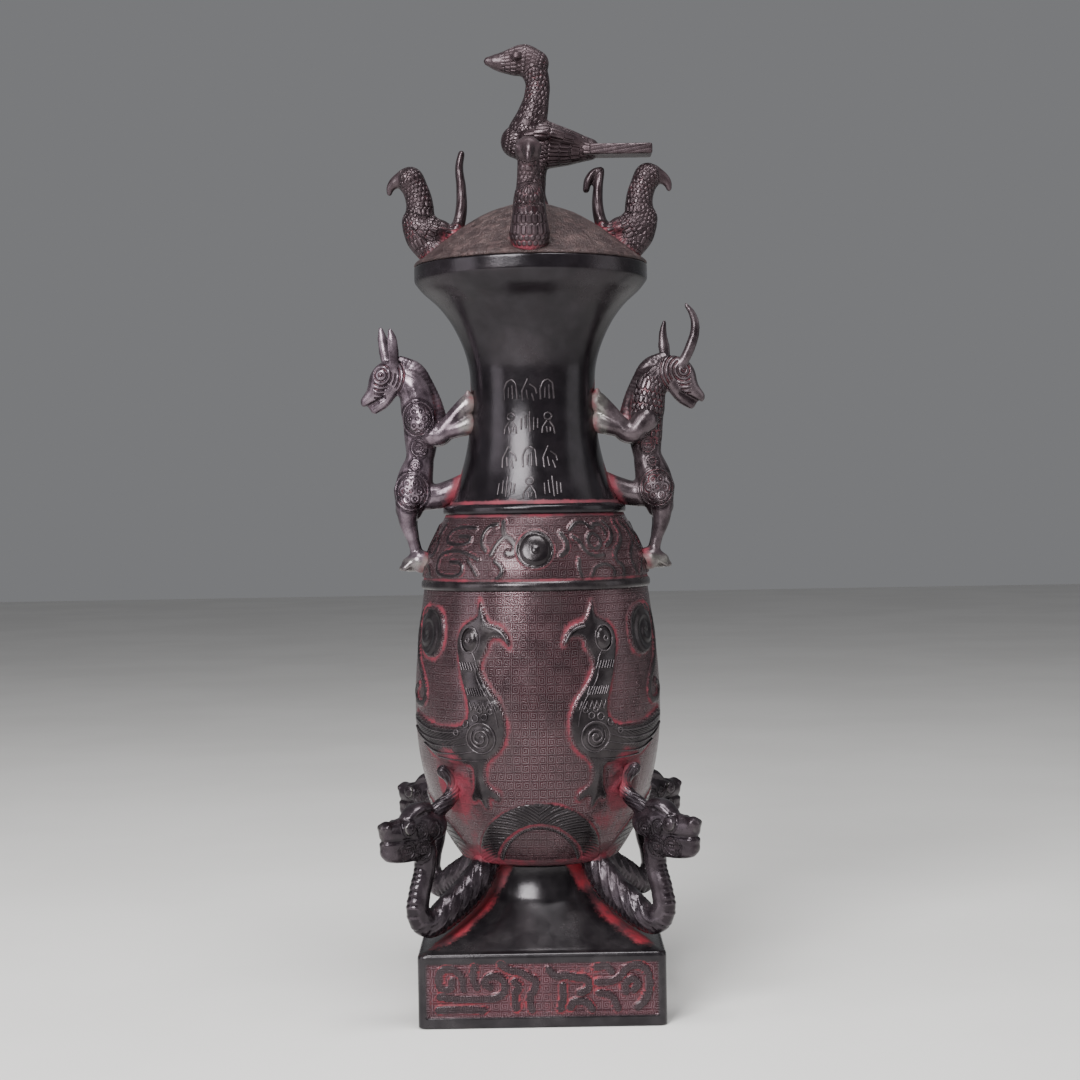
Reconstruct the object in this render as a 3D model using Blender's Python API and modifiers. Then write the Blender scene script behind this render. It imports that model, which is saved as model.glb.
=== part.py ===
"""Lidded bronze vase on a square plinth, with birds on the lid, beast handles and corner dragons.

Metres, +Z up. The origin is under the middle of the plinth, the front faces -Y and the beasts stand at +-X.
"""

import math

import bmesh
import bpy
from mathutils import Matrix, Vector

# Heights of the vessel's stages, one on top of the other
PLINTH_HEIGHT = 0.045
FOOT_HEIGHT = 0.029
COLLAR_HEIGHT = 0.020
BOWL_HEIGHT = 0.168
SHOULDER_HEIGHT = 0.0465
NECK_HEIGHT = 0.156
LID_HEIGHT = 0.040

# Widths of the vessel, as radii on the axis, and the plinth's side
PLINTH_SIDE = 0.150
FOOT_TOP_RADIUS = 0.0415
COLLAR_RADIUS = 0.038
WAIST_RADIUS = 0.050
BELLY_RADIUS = 0.0775
RING_RADIUS = 0.0708
NECK_FOOT_RADIUS = 0.0562
NECK_RADIUS = 0.0391
RIM_RADIUS = 0.0736

# Casting
WALL = 0.004
LID_WALL = 0.003
FLOOR_THICKNESS = 0.006
LIP_HEIGHT = 0.009
BELLY_SHARE = 0.55
NECK_SHARE = 0.485
RING_HEIGHT = 0.006
RING_STAND = 0.0016
PLINTH_BEAD = 0.003
TONGUE_DEPTH = 0.007
TONGUE_THICKNESS = 0.003
TONGUE_PLAY = 0.0015

# Fits
GAP = 0.0003
TURNS = 32
HOLLOW_TURNS = 24

# Relief
BIRD_RELIEF = 0.0018
SCROLL_RELIEF = 0.0012
SCROLL_WIDTH = 0.0038
BOSS_RADIUS = 0.0112
BOSS_STAND = 0.0035
BOSS_SIDES = 16
BOSS_STEPS = ((0.95, -0.8), (1.0, 0.5), (0.86, 0.6), (0.76, 0.95), (0.32, 1.1), (0.24, 1.4))
PANEL_BORDER = 0.005
PANEL_DEPTH = 0.0012

# Animals
VOXEL = 0.0011
BEAST_FACES = 700
DRAGON_FACES = 400
FINIAL_FACES = 480
LID_BIRD_FACES = 240
DRAGON_TURN = 44.0
LID_BIRD_SEAT = 0.0615
FRONT_BIRD_RISE = 0.0045

# Levels that follow from the heights
FOOT_LEVEL = PLINTH_HEIGHT
COLLAR_LEVEL = FOOT_LEVEL + FOOT_HEIGHT
WAIST_LEVEL = COLLAR_LEVEL + COLLAR_HEIGHT
RING_LEVEL = WAIST_LEVEL + BOWL_HEIGHT
NECK_LEVEL = RING_LEVEL + SHOULDER_HEIGHT
RIM_LEVEL = NECK_LEVEL + NECK_HEIGHT
BELLY_LEVEL = WAIST_LEVEL + BELLY_SHARE * BOWL_HEIGHT
NARROW_LEVEL = NECK_LEVEL + NECK_SHARE * NECK_HEIGHT
SEAT_LEVEL = RIM_LEVEL + GAP

# How far the mouth has opened, by the share of the height from the narrowest level to the lip
MOUTH_FLARE = ((0.0, 0.0), (0.25, 0.035), (0.40, 0.115), (0.55, 0.245), (0.68, 0.40), (0.80, 0.60), (0.92, 0.87))

# The dome's outline, as shares of the rim's radius and of the lid's height
DOME = ((0.99, 0.06), (0.89, 0.19), (0.735, 0.42), (0.60, 0.60), (0.45, 0.77), (0.25, 0.92), (0.10, 0.99))

# One relief bird, as degrees round from the front and millimetres above the waist
RELIEF_BIRD = (
    (28, 164), (24, 149.5), (16, 144), (13.5, 135.5), (18.5, 141), (23.5, 138.5), (27.3, 121), (26, 113.5),
    (18.5, 99), (14.5, 86), (15.5, 78), (21, 69), (24.4, 50), (19, 48.5), (20, 42), (29, 38), (36, 44),
    (30.2, 49), (31, 64), (47.5, 64.5), (64.5, 69.6), (78, 78.5), (72, 86.5), (59.5, 89), (49, 85.3),
    (42.5, 85.4), (35.5, 91), (34.2, 99.4), (39.5, 120), (42.5, 134), (40, 145.5), (30.5, 155.4),
)
PLUME = ((58, 140), (50, 138), (48, 150), (57, 157), (67, 149), (66, 131), (58.5, 109), (65, 99))
ARCH_OUTSIDE = ((0, 41.5), (12, 39), (24, 31.5), (35, 19))
ARCH_INSIDE = ((31, 5), (20, 18.5), (10, 25), (0, 26.5))

# Shoulder scrolls, as degrees from the boss and shares of the shoulder's height
SHOULDER_SCROLLS = (
    ((15, 0.78), (15, 0.40), (23, 0.40), (24, 0.82), (32, 0.82)),
    ((28, 0.22), (33, 0.50), (40, 0.60), (41, 0.86)),
    ((42, 0.24), (48, 0.50), (50, 0.82), (58, 0.82)),
)

# Plinth scrolls on one half of a side, as shares of the half width and of the panel's height
PANEL_SCROLLS = (
    ((0.92, 0.22), (0.92, 0.82), (0.70, 0.82)),
    ((0.74, 0.22), (0.56, 0.22), (0.56, 0.50)),
    ((0.50, 0.84), (0.42, 0.52), (0.26, 0.50), (0.28, 0.20)),
    ((0.20, 0.84), (0.10, 0.50)),
)

# A beast in millimetres: outward from the neck's radius, sideways, up from the neck ring, and thickness radius
BEAST_TRUNK = ((46, 0, 88, 8), (37, 0, 82, 11), (32.5, 0, 66, 12.2), (32, 0, 50, 11), (33, 0, 36, 9),
               (36, 0, 24, 11.5), (38, 0, 14, 12.6), (40.5, 0, 4, 9))
BEAST_HEAD = ((46, 0, 91, 8.4), (54.5, 0, 89, 8.2), (60, 0, 78, 6.9), (65.8, 0, 72.5, 4.5))
BEAST_JAW = ((50, 0, 81, 5.6), (56, 0, 72, 4.4), (61, 0, 67.5, 3))
BEAST_MANE = ((44, 0, 97, 4.6), (35, 0, 91.5, 6), (30, 0, 82, 6.8), (25.5, 0, 71, 7.2), (22, 0, 60, 7))
BEAST_FORELEG = ((32, 7, 58, 8.2), (22, 9, 50, 6.8), (14, 8.5, 57, 5.8), (7, 8, 65, 5.8), (1, 7.5, 70, 6.8))
BEAST_FAR_PAW = ((22, 9, 52, 5.5), (10, 10, 54, 5), (1, 9, 57, 6))
BEAST_RUMP = ((34, 0, 13, 10), (23, 0, 12, 8.2), (13, 0, 15, 8.0), (3, 0, 19, 8.2))
BEAST_HINDLEG = ((41, 5.5, 8, 8), (41, 6.5, -4, 5.6), (38, 7, -16, 3.5), (36.5, 7.2, -24, 3.4), (38, 7.5, -30, 4.6))
BEAST_FOOT = ((28, 7, -30.5, 6.6), (35, 7.5, -29, 7.2), (40.5, 8, -30.5, 5.0))
BEAST_EAR_RIGHT = ((46, 6, 92, 3.2), (45, 7, 105, 3.8), (44.5, 7.5, 114, 2.6), (45.5, 7.5, 121, 1.4))
BEAST_HORN_RIGHT = ((55, -5, 92, 3.4), (61, -6, 104, 3.4), (64, -6.5, 116, 3), (62.5, -6.5, 124, 2.4),
                    (58.5, -6.5, 130, 1.4))
BEAST_EAR_LEFT = ((48, -6, 92, 3.2), (48.5, -7, 104, 3.8), (49, -7.5, 112, 3.2), (50, -7.5, 117, 1.6))
BEAST_HORN_LEFT = ((52, 5, 92, 3.4), (54.5, 6, 104, 3.8), (56, 6.5, 113, 3.2), (57, 6.5, 119, 1.6))

# A dragon in millimetres: outward along its own upright plane, sideways, up from the plinth's top, and radius
DRAGON_BODY = ((44, 0, 50, 9), (51, 0, 42, 10), (62, 0, 32, 10.5), (76, 0, 24, 10.2), (88, 0, 18, 9),
               (96.5, 0, 17.5, 8.2), (102.5, 0, 24, 7.8), (101.5, 0, 36, 7.2), (97, 0, 50, 7.2), (96.5, 0, 62, 8))
DRAGON_HEAD = ((89, 0, 76, 9), (99, 0, 77, 10.4), (110, 0, 75.5, 9.6), (119, 0, 75, 8.4), (124, 0, 75.5, 7.2))
DRAGON_JAW = ((98, 0, 64, 7), (110, 0, 62.5, 6.2), (119, 0, 62.5, 5.6), (124, 0, 63, 5.2))
DRAGON_BROW = ((96, 0, 88, 3.4), (104, 0, 87.5, 3.6), (111, 0, 83, 3))
DRAGON_EYE = (104.5, 8.4, 77, 4.2)
DRAGON_NOSE = (126.5, 0, 78, 5.2)
DRAGON_CREST = ((92, 0, 80, 6.5), (84, 0, 86, 5.4), (76, 0, 91, 5), (72, 0, 98, 5), (76, 0, 105, 4.6),
                (81, 0, 108, 4.2))

# The finial bird in millimetres: towards its tail, sideways, up from the dome's top, and radius
FINIAL_BODY = ((-7, 0, 39, 11), (0, 0, 38, 14), (11, 0, 36.5, 15.4), (24, 0, 35, 12), (38, 0, 33.5, 7.4))
FINIAL_NECK = ((-1, 0, 45, 12), (3, 0, 56, 9.8), (5.5, 0, 66, 8.2), (6.4, 0, 76, 7.8), (4, 0, 85, 8.6))
FINIAL_HEAD = ((5, 0, 88, 9.2), (-2, 0, 90, 10.6), (-9, 0, 89.5, 9), (-15.5, 0, 89, 6), (-21, 0, 89.5, 3.8),
               (-24.8, 0, 90, 2.4))
FINIAL_STEM = ((2, 0, -4, 11), (2, 0, 6, 8.4), (3, 0, 18, 8), (4, 0, 32, 10))
FINIAL_TAIL_START = 34.0
FINIAL_TAIL_END = 78.0
FINIAL_TAIL_HALF_WIDTH = 9.0
FINIAL_TAIL_HALF_THICKNESS = 3.4
FINIAL_TAIL_RISE = 32.5

# A small lid bird in millimetres: outward from its seat, sideways, up from the seat, and radius
LID_BIRD_BODY = ((-15, 0, 7, 6), (-6, 0, 8.5, 9.8), (3, 0, 11, 11.4), (9.5, 0, 17, 10.4))
LID_BIRD_NECK = ((8, 0, 20, 9.6), (8, 0, 29, 8.6), (10.5, 0, 38, 8.2), (13.5, 0, 44, 8.8))
LID_BIRD_BREAST = ((10, 0, 15, 9.6), (7.5, 0, 7, 9.6), (3, 0, -1, 8))
LID_BIRD_TAIL_HOOK = ((-16, 0, 48, 2.4), (-20, 0, 47, 2.5), (-24, 0, 42, 2.7), (-25.5, 0, 36, 2.2))
LID_BIRD_BEAK = ((16, 0, 44.5, 7.4), (22, 0, 43, 4.6), (26, 0, 39.5, 2.9), (27, 0, 36, 2.2))
LID_BIRD_PAD = ((-5, 0, -4, 11), (0, 0, 1, 10))
LID_BIRD_TAIL = ((-14, 0, 8, 4.4), (-18, 0, 22, 3.8), (-18, 0, 36, 3.2), (-16, 0, 47, 2.4))
LID_BIRD_LONG_TAIL = ((-14, 0, 8, 4.4), (-18, 0, 22, 3.8), (-18.5, 0, 38, 3.2), (-17.5, 0, 52, 2.6), (-19, 0, 60, 2.2))


def bowl_radius(z):
    """Ground radius of the body between the waist and the lower ring."""
    if z >= BELLY_LEVEL:
        share = min(1.0, (RING_LEVEL - z) / (RING_LEVEL - BELLY_LEVEL))
        return RING_RADIUS + (BELLY_RADIUS - RING_RADIUS) * math.sin(math.pi / 2 * max(0.0, share))
    slope = math.sqrt(1.0 - (WAIST_RADIUS / BELLY_RADIUS) ** 2)
    drop = (BELLY_LEVEL - z) / (BELLY_LEVEL - WAIST_LEVEL) * slope
    return BELLY_RADIUS * math.sqrt(max(0.05, 1.0 - drop * drop))


def shoulder_radius(z):
    """Ground radius of the shoulder, from the lower ring up to the neck ring."""
    share = min(1.0, (NECK_LEVEL - z) / (0.88 * SHOULDER_HEIGHT))
    return NECK_FOOT_RADIUS + (RING_RADIUS - NECK_FOOT_RADIUS) * math.sin(math.pi / 2 * max(0.0, share))


def neck_radius(share):
    """Radius of the neck from its ring (0) to its narrowest level (1)."""
    foot = NECK_FOOT_RADIUS - 0.0022
    return NECK_RADIUS + (foot - NECK_RADIUS) * (1.0 - share) ** 2.2


def body_profile():
    """The vessel's turned outline as (radius, height), from the rim down to the collar's foot."""
    lip = RIM_LEVEL - LIP_HEIGHT
    ring_top = NECK_LEVEL + RING_HEIGHT
    outline = [(RIM_RADIUS, RIM_LEVEL), (RIM_RADIUS, lip)]
    for share, open_share in reversed(MOUTH_FLARE):
        radius = NECK_RADIUS + (RIM_RADIUS - NECK_RADIUS) * open_share
        outline.append((radius, NARROW_LEVEL + share * (lip - NARROW_LEVEL)))
    for share in (0.68, 0.40, 0.18, 0.0):
        outline.append((neck_radius(share), ring_top + share * (NARROW_LEVEL - ring_top)))
    ring = NECK_FOOT_RADIUS + RING_STAND
    outline += [(ring, ring_top - 0.0006), (ring, NECK_LEVEL + 0.0006)]
    for share in (1.0, 0.80, 0.55, 0.30):
        z = RING_LEVEL + RING_HEIGHT + share * (SHOULDER_HEIGHT - RING_HEIGHT)
        outline.append((shoulder_radius(z), z))
    ring = RING_RADIUS + RING_STAND
    outline += [(RING_RADIUS, RING_LEVEL + RING_HEIGHT), (ring, RING_LEVEL + RING_HEIGHT - 0.0006)]
    outline += [(ring, RING_LEVEL + 0.0006), (RING_RADIUS, RING_LEVEL)]
    for share in (0.84, 0.68, 0.50, 0.36, 0.23, 0.12, 0.0):
        z = WAIST_LEVEL + share * BOWL_HEIGHT
        outline.append((bowl_radius(z), z))
    outline += [(WAIST_RADIUS - 0.0015, WAIST_LEVEL - 0.0015), (COLLAR_RADIUS, WAIST_LEVEL - 0.0025)]
    outline += [(COLLAR_RADIUS, COLLAR_LEVEL + 0.30 * COLLAR_HEIGHT), (FOOT_TOP_RADIUS - 0.0003, COLLAR_LEVEL)]
    outline += [(FOOT_TOP_RADIUS - 0.003, COLLAR_LEVEL - 0.003)]
    return outline


def link(name, mesh, place):
    """A scene object for this mesh; helpers never render."""
    made = bpy.data.objects.new(name, mesh)
    place.objects.link(made)
    if place is CUTTERS:
        made.hide_render = True
        made.display_type = "WIRE"
    return made


def bronze(name, colour, roughness):
    """One cast metal for one piece."""
    material = bpy.data.materials.new(name)
    material.use_nodes = True
    shader = material.node_tree.nodes["Principled BSDF"]
    shader.inputs["Base Color"].default_value = (*colour, 1.0)
    shader.inputs["Metallic"].default_value = 0.85
    shader.inputs["Roughness"].default_value = roughness
    return material


def turned(name, profile, place, steps=TURNS):
    """A closed turned solid from a profile that runs top to bottom, closed onto the axis at both ends."""
    points = [(0.0, profile[0][1])] + list(profile) + [(0.0, profile[-1][1])]
    mesh = bpy.data.meshes.new(name)
    edges = [(i, i + 1) for i in range(len(points) - 1)]
    mesh.from_pydata([(r, 0.0, z) for r, z in points], edges, [])
    made = link(name, mesh, place)
    screw = made.modifiers.new("Turn", "SCREW")
    screw.steps = steps
    screw.render_steps = steps
    screw.use_merge_vertices = True
    screw.merge_threshold = 0.0001
    return made


def grown(profile, amount):
    """The same outline with every radius larger by this amount."""
    return [(r + amount, z) for r, z in profile]


def square_point(angle, half, rounding):
    """A point of a square's outline at this angle, its corner cut back by the rounding."""
    c = math.cos(angle)
    s = math.sin(angle)
    reach = half / max(abs(c), abs(s))
    corner = (half * 2.0 - rounding * 0.6) / (abs(c) + abs(s))
    reach = min(reach, corner)
    return Vector((reach * c, reach * s))


def foot_rings(inset, lift):
    """Outline rings of plinth and foot, bottom to top, as (height, roundness, half width)."""
    half = PLINTH_SIDE / 2.0 - inset
    rings = [(0.0 if lift >= 0 else -0.02, 0.0, half)]
    rings.append((PLINTH_HEIGHT - PLINTH_BEAD + lift, 0.0, half))
    if lift >= 0:
        rings.append((PLINTH_HEIGHT + lift, 0.0, half - 0.4 * PLINTH_BEAD))
        rings.append((PLINTH_HEIGHT + lift, 0.0, half - 0.6 * PLINTH_BEAD))
    for share in (0.02, 0.22, 0.45, 0.70, 1.0):
        top = FOOT_TOP_RADIUS - inset
        reach = top + (half - 0.7 * PLINTH_BEAD - top) * (1.0 - share) ** 1.35
        rings.append((FOOT_LEVEL + share * FOOT_HEIGHT + lift, share ** 0.8, reach))
    return rings


def foot_solid(name, inset, lift, top_extra, place):
    """Square plinth flowing up into the round collar, lofted from unlike sections."""
    rings = foot_rings(inset, lift)
    z, _, reach = rings[-1]
    rings.append((z + top_extra, 1.0, reach - (0.0035 if top_extra > 0 else 0.0)))
    shape = bmesh.new()
    loops = []
    for z, roundness, reach in rings:
        loop = []
        for i in range(TURNS):
            angle = 2.0 * math.pi * i / TURNS
            flat = square_point(angle, reach, 0.004)
            disc = Vector((reach * math.cos(angle), reach * math.sin(angle)))
            point = flat.lerp(disc, roundness)
            loop.append(shape.verts.new((point.x, point.y, z)))
        loops.append(loop)
    for lower, upper in zip(loops, loops[1:]):
        for i in range(TURNS):
            j = (i + 1) % TURNS
            shape.faces.new((lower[i], lower[j], upper[j], upper[i]))
    shape.faces.new(list(reversed(loops[0])))
    shape.faces.new(loops[-1])
    return finish(name, shape, place)


def finish(name, shape, place):
    """Turn a bmesh into an object with its faces outward."""
    bmesh.ops.recalc_face_normals(shape, faces=shape.faces)
    mesh = bpy.data.meshes.new(name)
    shape.to_mesh(mesh)
    shape.free()
    return link(name, mesh, place)


def boolean(target, tool, operation):
    """One live Boolean on the target."""
    modifier = target.modifiers.new(operation.title() + " " + tool.name, "BOOLEAN")
    modifier.operation = operation
    modifier.solver = "EXACT"
    modifier.object = tool


def around(degrees, radius, z):
    """A point on the vessel, its angle counted from the front."""
    angle = math.radians(degrees)
    return Vector((radius * math.sin(angle), -radius * math.cos(angle), z))


def outline_block(shape, outline, turn, mirror):
    """A wedge through the wall with this outline of (degrees, millimetres above the waist)."""
    near = []
    far = []
    for degrees, up in outline:
        z = WAIST_LEVEL + up * 0.001 * BOWL_HEIGHT / 0.168
        at = turn + mirror * degrees
        near.append(shape.verts.new(around(at, 0.55 * bowl_radius(z), z)))
        far.append(shape.verts.new(around(at, 1.5 * BELLY_RADIUS, z)))
    shape.faces.new(near)
    shape.faces.new(far)
    for i in range(len(near)):
        j = (i + 1) % len(near)
        shape.faces.new((near[i], near[j], far[j], far[i]))


def ribbon(shape, stations):
    """A raised strip through stations of (root, crown, across), squared at both ends."""
    rows = []
    for root, crown, across in stations:
        rows.append([shape.verts.new(p) for p in (root - across, root + across, crown + across, crown - across)])
    for one, two in zip(rows, rows[1:]):
        for i in range(4):
            j = (i + 1) % 4
            shape.faces.new((one[i], one[j], two[j], two[i]))
    shape.faces.new(rows[0])
    shape.faces.new(rows[-1])


def path_sides(points):
    """At each point of a path, the unit direction across it, scaled so that corners keep the width."""
    sides = []
    for i, point in enumerate(points):
        before = (point - points[i - 1]).normalized() if i else None
        after = (points[i + 1] - point).normalized() if i + 1 < len(points) else None
        before = before or after
        after = after or before
        along = (before + after).normalized()
        stretch = 1.0 / max(0.6, along.dot(after))
        sides.append((along, stretch))
    return sides


def vessel_ribbon(shape, path, radius_at, stand, width, turn, mirror):
    """A raised strip that follows the turned surface."""
    points = []
    for degrees, z in path:
        points.append(around(turn + mirror * degrees, radius_at(z), z))
    stations = []
    for point, (along, stretch) in zip(points, path_sides(points)):
        out = Vector((point.x, point.y, 0.0)).normalized()
        across = along.cross(out).normalized() * (width / 2.0 * stretch)
        stations.append((point - out * 0.002, point + out * stand, across))
    ribbon(shape, stations)


def four_corners():
    """The quarter turns' own sense: (turn, mirror) for the left and right of the front and of the back."""
    return ((0.0, -1.0), (0.0, 1.0), (180.0, -1.0), (180.0, 1.0))


def relief_birds(grown_body):
    """Four birds in low relief, two that face each other at the front and two at the back."""
    shape = bmesh.new()
    for turn, mirror in four_corners():
        outline_block(shape, RELIEF_BIRD, turn, mirror)
    for turn in (0.0, 90.0, 180.0, 270.0):
        left = [(-d, up) for d, up in reversed(ARCH_OUTSIDE[1:])]
        inside = list(ARCH_INSIDE) + [(-d, up) for d, up in reversed(ARCH_INSIDE[:-1])]
        outline_block(shape, left + list(ARCH_OUTSIDE) + inside, turn, 1.0)
    birds = finish("relief birds and arches", shape, CUTTERS)
    boolean(birds, grown_body, "INTERSECT")
    return birds


def relief_scrolls():
    """Plumes behind the birds, and the shoulder's scrolls."""
    shape = bmesh.new()
    for turn, mirror in four_corners():
        plume = [(d, WAIST_LEVEL + up * 0.001 * BOWL_HEIGHT / 0.168) for d, up in PLUME]
        vessel_ribbon(shape, plume, bowl_radius, SCROLL_RELIEF, SCROLL_WIDTH, turn, mirror)
        for scroll in SHOULDER_SCROLLS:
            low = RING_LEVEL + RING_HEIGHT
            path = [(d, low + share * (SHOULDER_HEIGHT - RING_HEIGHT)) for d, share in scroll]
            vessel_ribbon(shape, path, shoulder_radius, SCROLL_RELIEF, SCROLL_WIDTH, turn, mirror)
    return finish("relief scrolls", shape, CUTTERS)


def bosses():
    """A stepped round boss in the middle of the shoulder, front and back."""
    shape = bmesh.new()
    z = RING_LEVEL + RING_HEIGHT + 0.48 * (SHOULDER_HEIGHT - RING_HEIGHT)
    level = shoulder_radius(z)
    for turn in (0.0, 180.0):
        out = around(turn, 1.0, 0.0)
        side = around(turn + 90.0, 1.0, 0.0)
        tilt = (out * 0.97 + Vector((0.0, 0.0, 0.24))).normalized()
        up = side.cross(tilt).normalized()
        loops = []
        for radius, stand in BOSS_STEPS:
            middle = out * level + Vector((0.0, 0.0, z)) + tilt * (stand * BOSS_STAND)
            loop = []
            for i in range(BOSS_SIDES):
                angle = 2.0 * math.pi * i / BOSS_SIDES
                reach = BOSS_RADIUS * radius
                loop.append(shape.verts.new(middle + side * (reach * math.cos(angle)) + up * (reach * math.sin(angle))))
            loops.append(loop)
        for lower, upper in zip(loops, loops[1:]):
            for i in range(BOSS_SIDES):
                j = (i + 1) % BOSS_SIDES
                shape.faces.new((lower[i], lower[j], upper[j], upper[i]))
        shape.faces.new(loops[0])
        shape.faces.new(loops[-1])
    return finish("bosses", shape, CUTTERS)


def panel_cutters():
    """Four shallow boxes that sink a panel in each side of the plinth."""
    shape = bmesh.new()
    wide = PLINTH_SIDE - 2.0 * PANEL_BORDER
    tall = PLINTH_HEIGHT - PLINTH_BEAD - 1.5 * PANEL_BORDER
    for turn in (0.0, 90.0, 180.0, 270.0):
        middle = around(turn, PLINTH_SIDE / 2.0 + 0.005 - PANEL_DEPTH, PANEL_BORDER * 1.2 + tall / 2.0)
        place = Matrix.Translation(middle) @ Matrix.Rotation(math.radians(turn), 4, "Z")
        scale = Matrix.Diagonal((wide, 0.01, tall, 1.0))
        bmesh.ops.create_cube(shape, size=1.0, matrix=place @ scale)
    return finish("panel cutters", shape, CUTTERS)


def panel_scrolls():
    """Raised angular scrolls on the sunken panels."""
    shape = bmesh.new()
    half = PLINTH_SIDE / 2.0 - PANEL_BORDER
    tall = PLINTH_HEIGHT - PLINTH_BEAD - 1.5 * PANEL_BORDER
    for turn in (0.0, 90.0, 180.0, 270.0):
        out = around(turn, 1.0, 0.0)
        side = around(turn + 90.0, 1.0, 0.0)
        for mirror in (-1.0, 1.0):
            for scroll in PANEL_SCROLLS:
                points = []
                for across_share, up_share in scroll:
                    point = out * (PLINTH_SIDE / 2.0 - PANEL_DEPTH) + side * (mirror * across_share * half)
                    point.z = PANEL_BORDER * 1.2 + up_share * tall
                    points.append(point)
                stations = []
                for point, (along, stretch) in zip(points, path_sides(points)):
                    across = along.cross(out).normalized() * (SCROLL_WIDTH * 0.45 * stretch)
                    stations.append((point - out * 0.0015, point + out * PANEL_DEPTH * 0.85, across))
                ribbon(shape, stations)
    return finish("panel scrolls", shape, CUTTERS)


def cavity():
    """The hollow of neck and body, open at the mouth."""
    outline = [(RIM_RADIUS - WALL, RIM_LEVEL + 0.02), (RIM_RADIUS - WALL, RIM_LEVEL - LIP_HEIGHT)]
    for share, open_share in (MOUTH_FLARE[5], MOUTH_FLARE[3], MOUTH_FLARE[2], MOUTH_FLARE[0]):
        radius = NECK_RADIUS + (RIM_RADIUS - NECK_RADIUS) * open_share - WALL
        outline.append((radius, NARROW_LEVEL + share * (RIM_LEVEL - LIP_HEIGHT - NARROW_LEVEL)))
    outline.append((neck_radius(0.40) - WALL, NECK_LEVEL + 0.40 * (NARROW_LEVEL - NECK_LEVEL)))
    outline.append((neck_radius(0.0) - WALL, NECK_LEVEL + RING_HEIGHT))
    for share in (0.66, 0.25):
        z = RING_LEVEL + share * SHOULDER_HEIGHT
        outline.append((shoulder_radius(z) - WALL, z))
    for share in (0.96, 0.75, 0.50, 0.30, 0.15):
        z = WAIST_LEVEL + share * BOWL_HEIGHT
        outline.append((bowl_radius(z) - WALL, z))
    floor = WAIST_LEVEL - 0.0025 + FLOOR_THICKNESS
    outline += [(bowl_radius(floor + 0.003) - WALL, floor + 0.003), (0.8 * WAIST_RADIUS, floor)]
    return turned("cavity", outline, CUTTERS, HOLLOW_TURNS)


def make_vessel(body, foot):
    """Neck, body, foot and plinth as one hollow casting."""
    vessel = turned("vessel", body, PARTS)
    vessel.data.materials.append(bronze("near black bronze", (0.022, 0.018, 0.020), 0.32))
    grown_body = turned("grown body", grown(body, BIRD_RELIEF), CUTTERS)
    boolean(vessel, foot, "UNION")
    boolean(vessel, relief_birds(grown_body), "UNION")
    boolean(vessel, relief_scrolls(), "UNION")
    boolean(vessel, bosses(), "UNION")
    boolean(vessel, panel_cutters(), "DIFFERENCE")
    boolean(vessel, panel_scrolls(), "UNION")
    boolean(vessel, cavity(), "DIFFERENCE")
    hollow = foot_solid("foot hollow", WALL, -WALL, WAIST_LEVEL - 0.0025 - COLLAR_LEVEL + WALL, CUTTERS)
    boolean(vessel, hollow, "DIFFERENCE")
    return vessel


def lid_outline(inset, rise):
    """The dome as (radius, height), edge to crown."""
    outline = []
    for reach, up in DOME:
        outline.append((reach * RIM_RADIUS - inset, SEAT_LEVEL + up * LID_HEIGHT + rise))
    return outline


def make_lid():
    """A hollow dome with a tongue that drops inside the mouth."""
    dome = lid_outline(0.0, 0.0)
    outside = [(0.0, SEAT_LEVEL + LID_HEIGHT)] + dome[::-1]
    outside += [(RIM_RADIUS, SEAT_LEVEL + 0.0012), (RIM_RADIUS - 0.0006, SEAT_LEVEL)]
    reach = RIM_RADIUS - WALL - TONGUE_PLAY
    tongue = [(reach, SEAT_LEVEL), (reach, SEAT_LEVEL - TONGUE_DEPTH)]
    tongue += [(reach - TONGUE_THICKNESS, SEAT_LEVEL - TONGUE_DEPTH)]
    inside = [(reach - TONGUE_THICKNESS, SEAT_LEVEL + 0.05 * LID_HEIGHT)]
    for r, z in lid_outline(0.003, -LID_WALL)[2::2]:
        inside.append((r, z))
    inside.append((0.0, SEAT_LEVEL + LID_HEIGHT - LID_WALL))
    mesh = bpy.data.meshes.new("lid")
    points = outside + tongue + inside
    mesh.from_pydata([(r, 0.0, z) for r, z in points], [(i, i + 1) for i in range(len(points) - 1)], [])
    lid = link("lid", mesh, PARTS)
    screw = lid.modifiers.new("Turn", "SCREW")
    screw.steps = TURNS
    screw.render_steps = TURNS
    screw.use_merge_vertices = True
    screw.merge_threshold = 0.0001
    lid.data.materials.append(bronze("worn olive bronze", (0.060, 0.046, 0.040), 0.45))
    return lid


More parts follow.
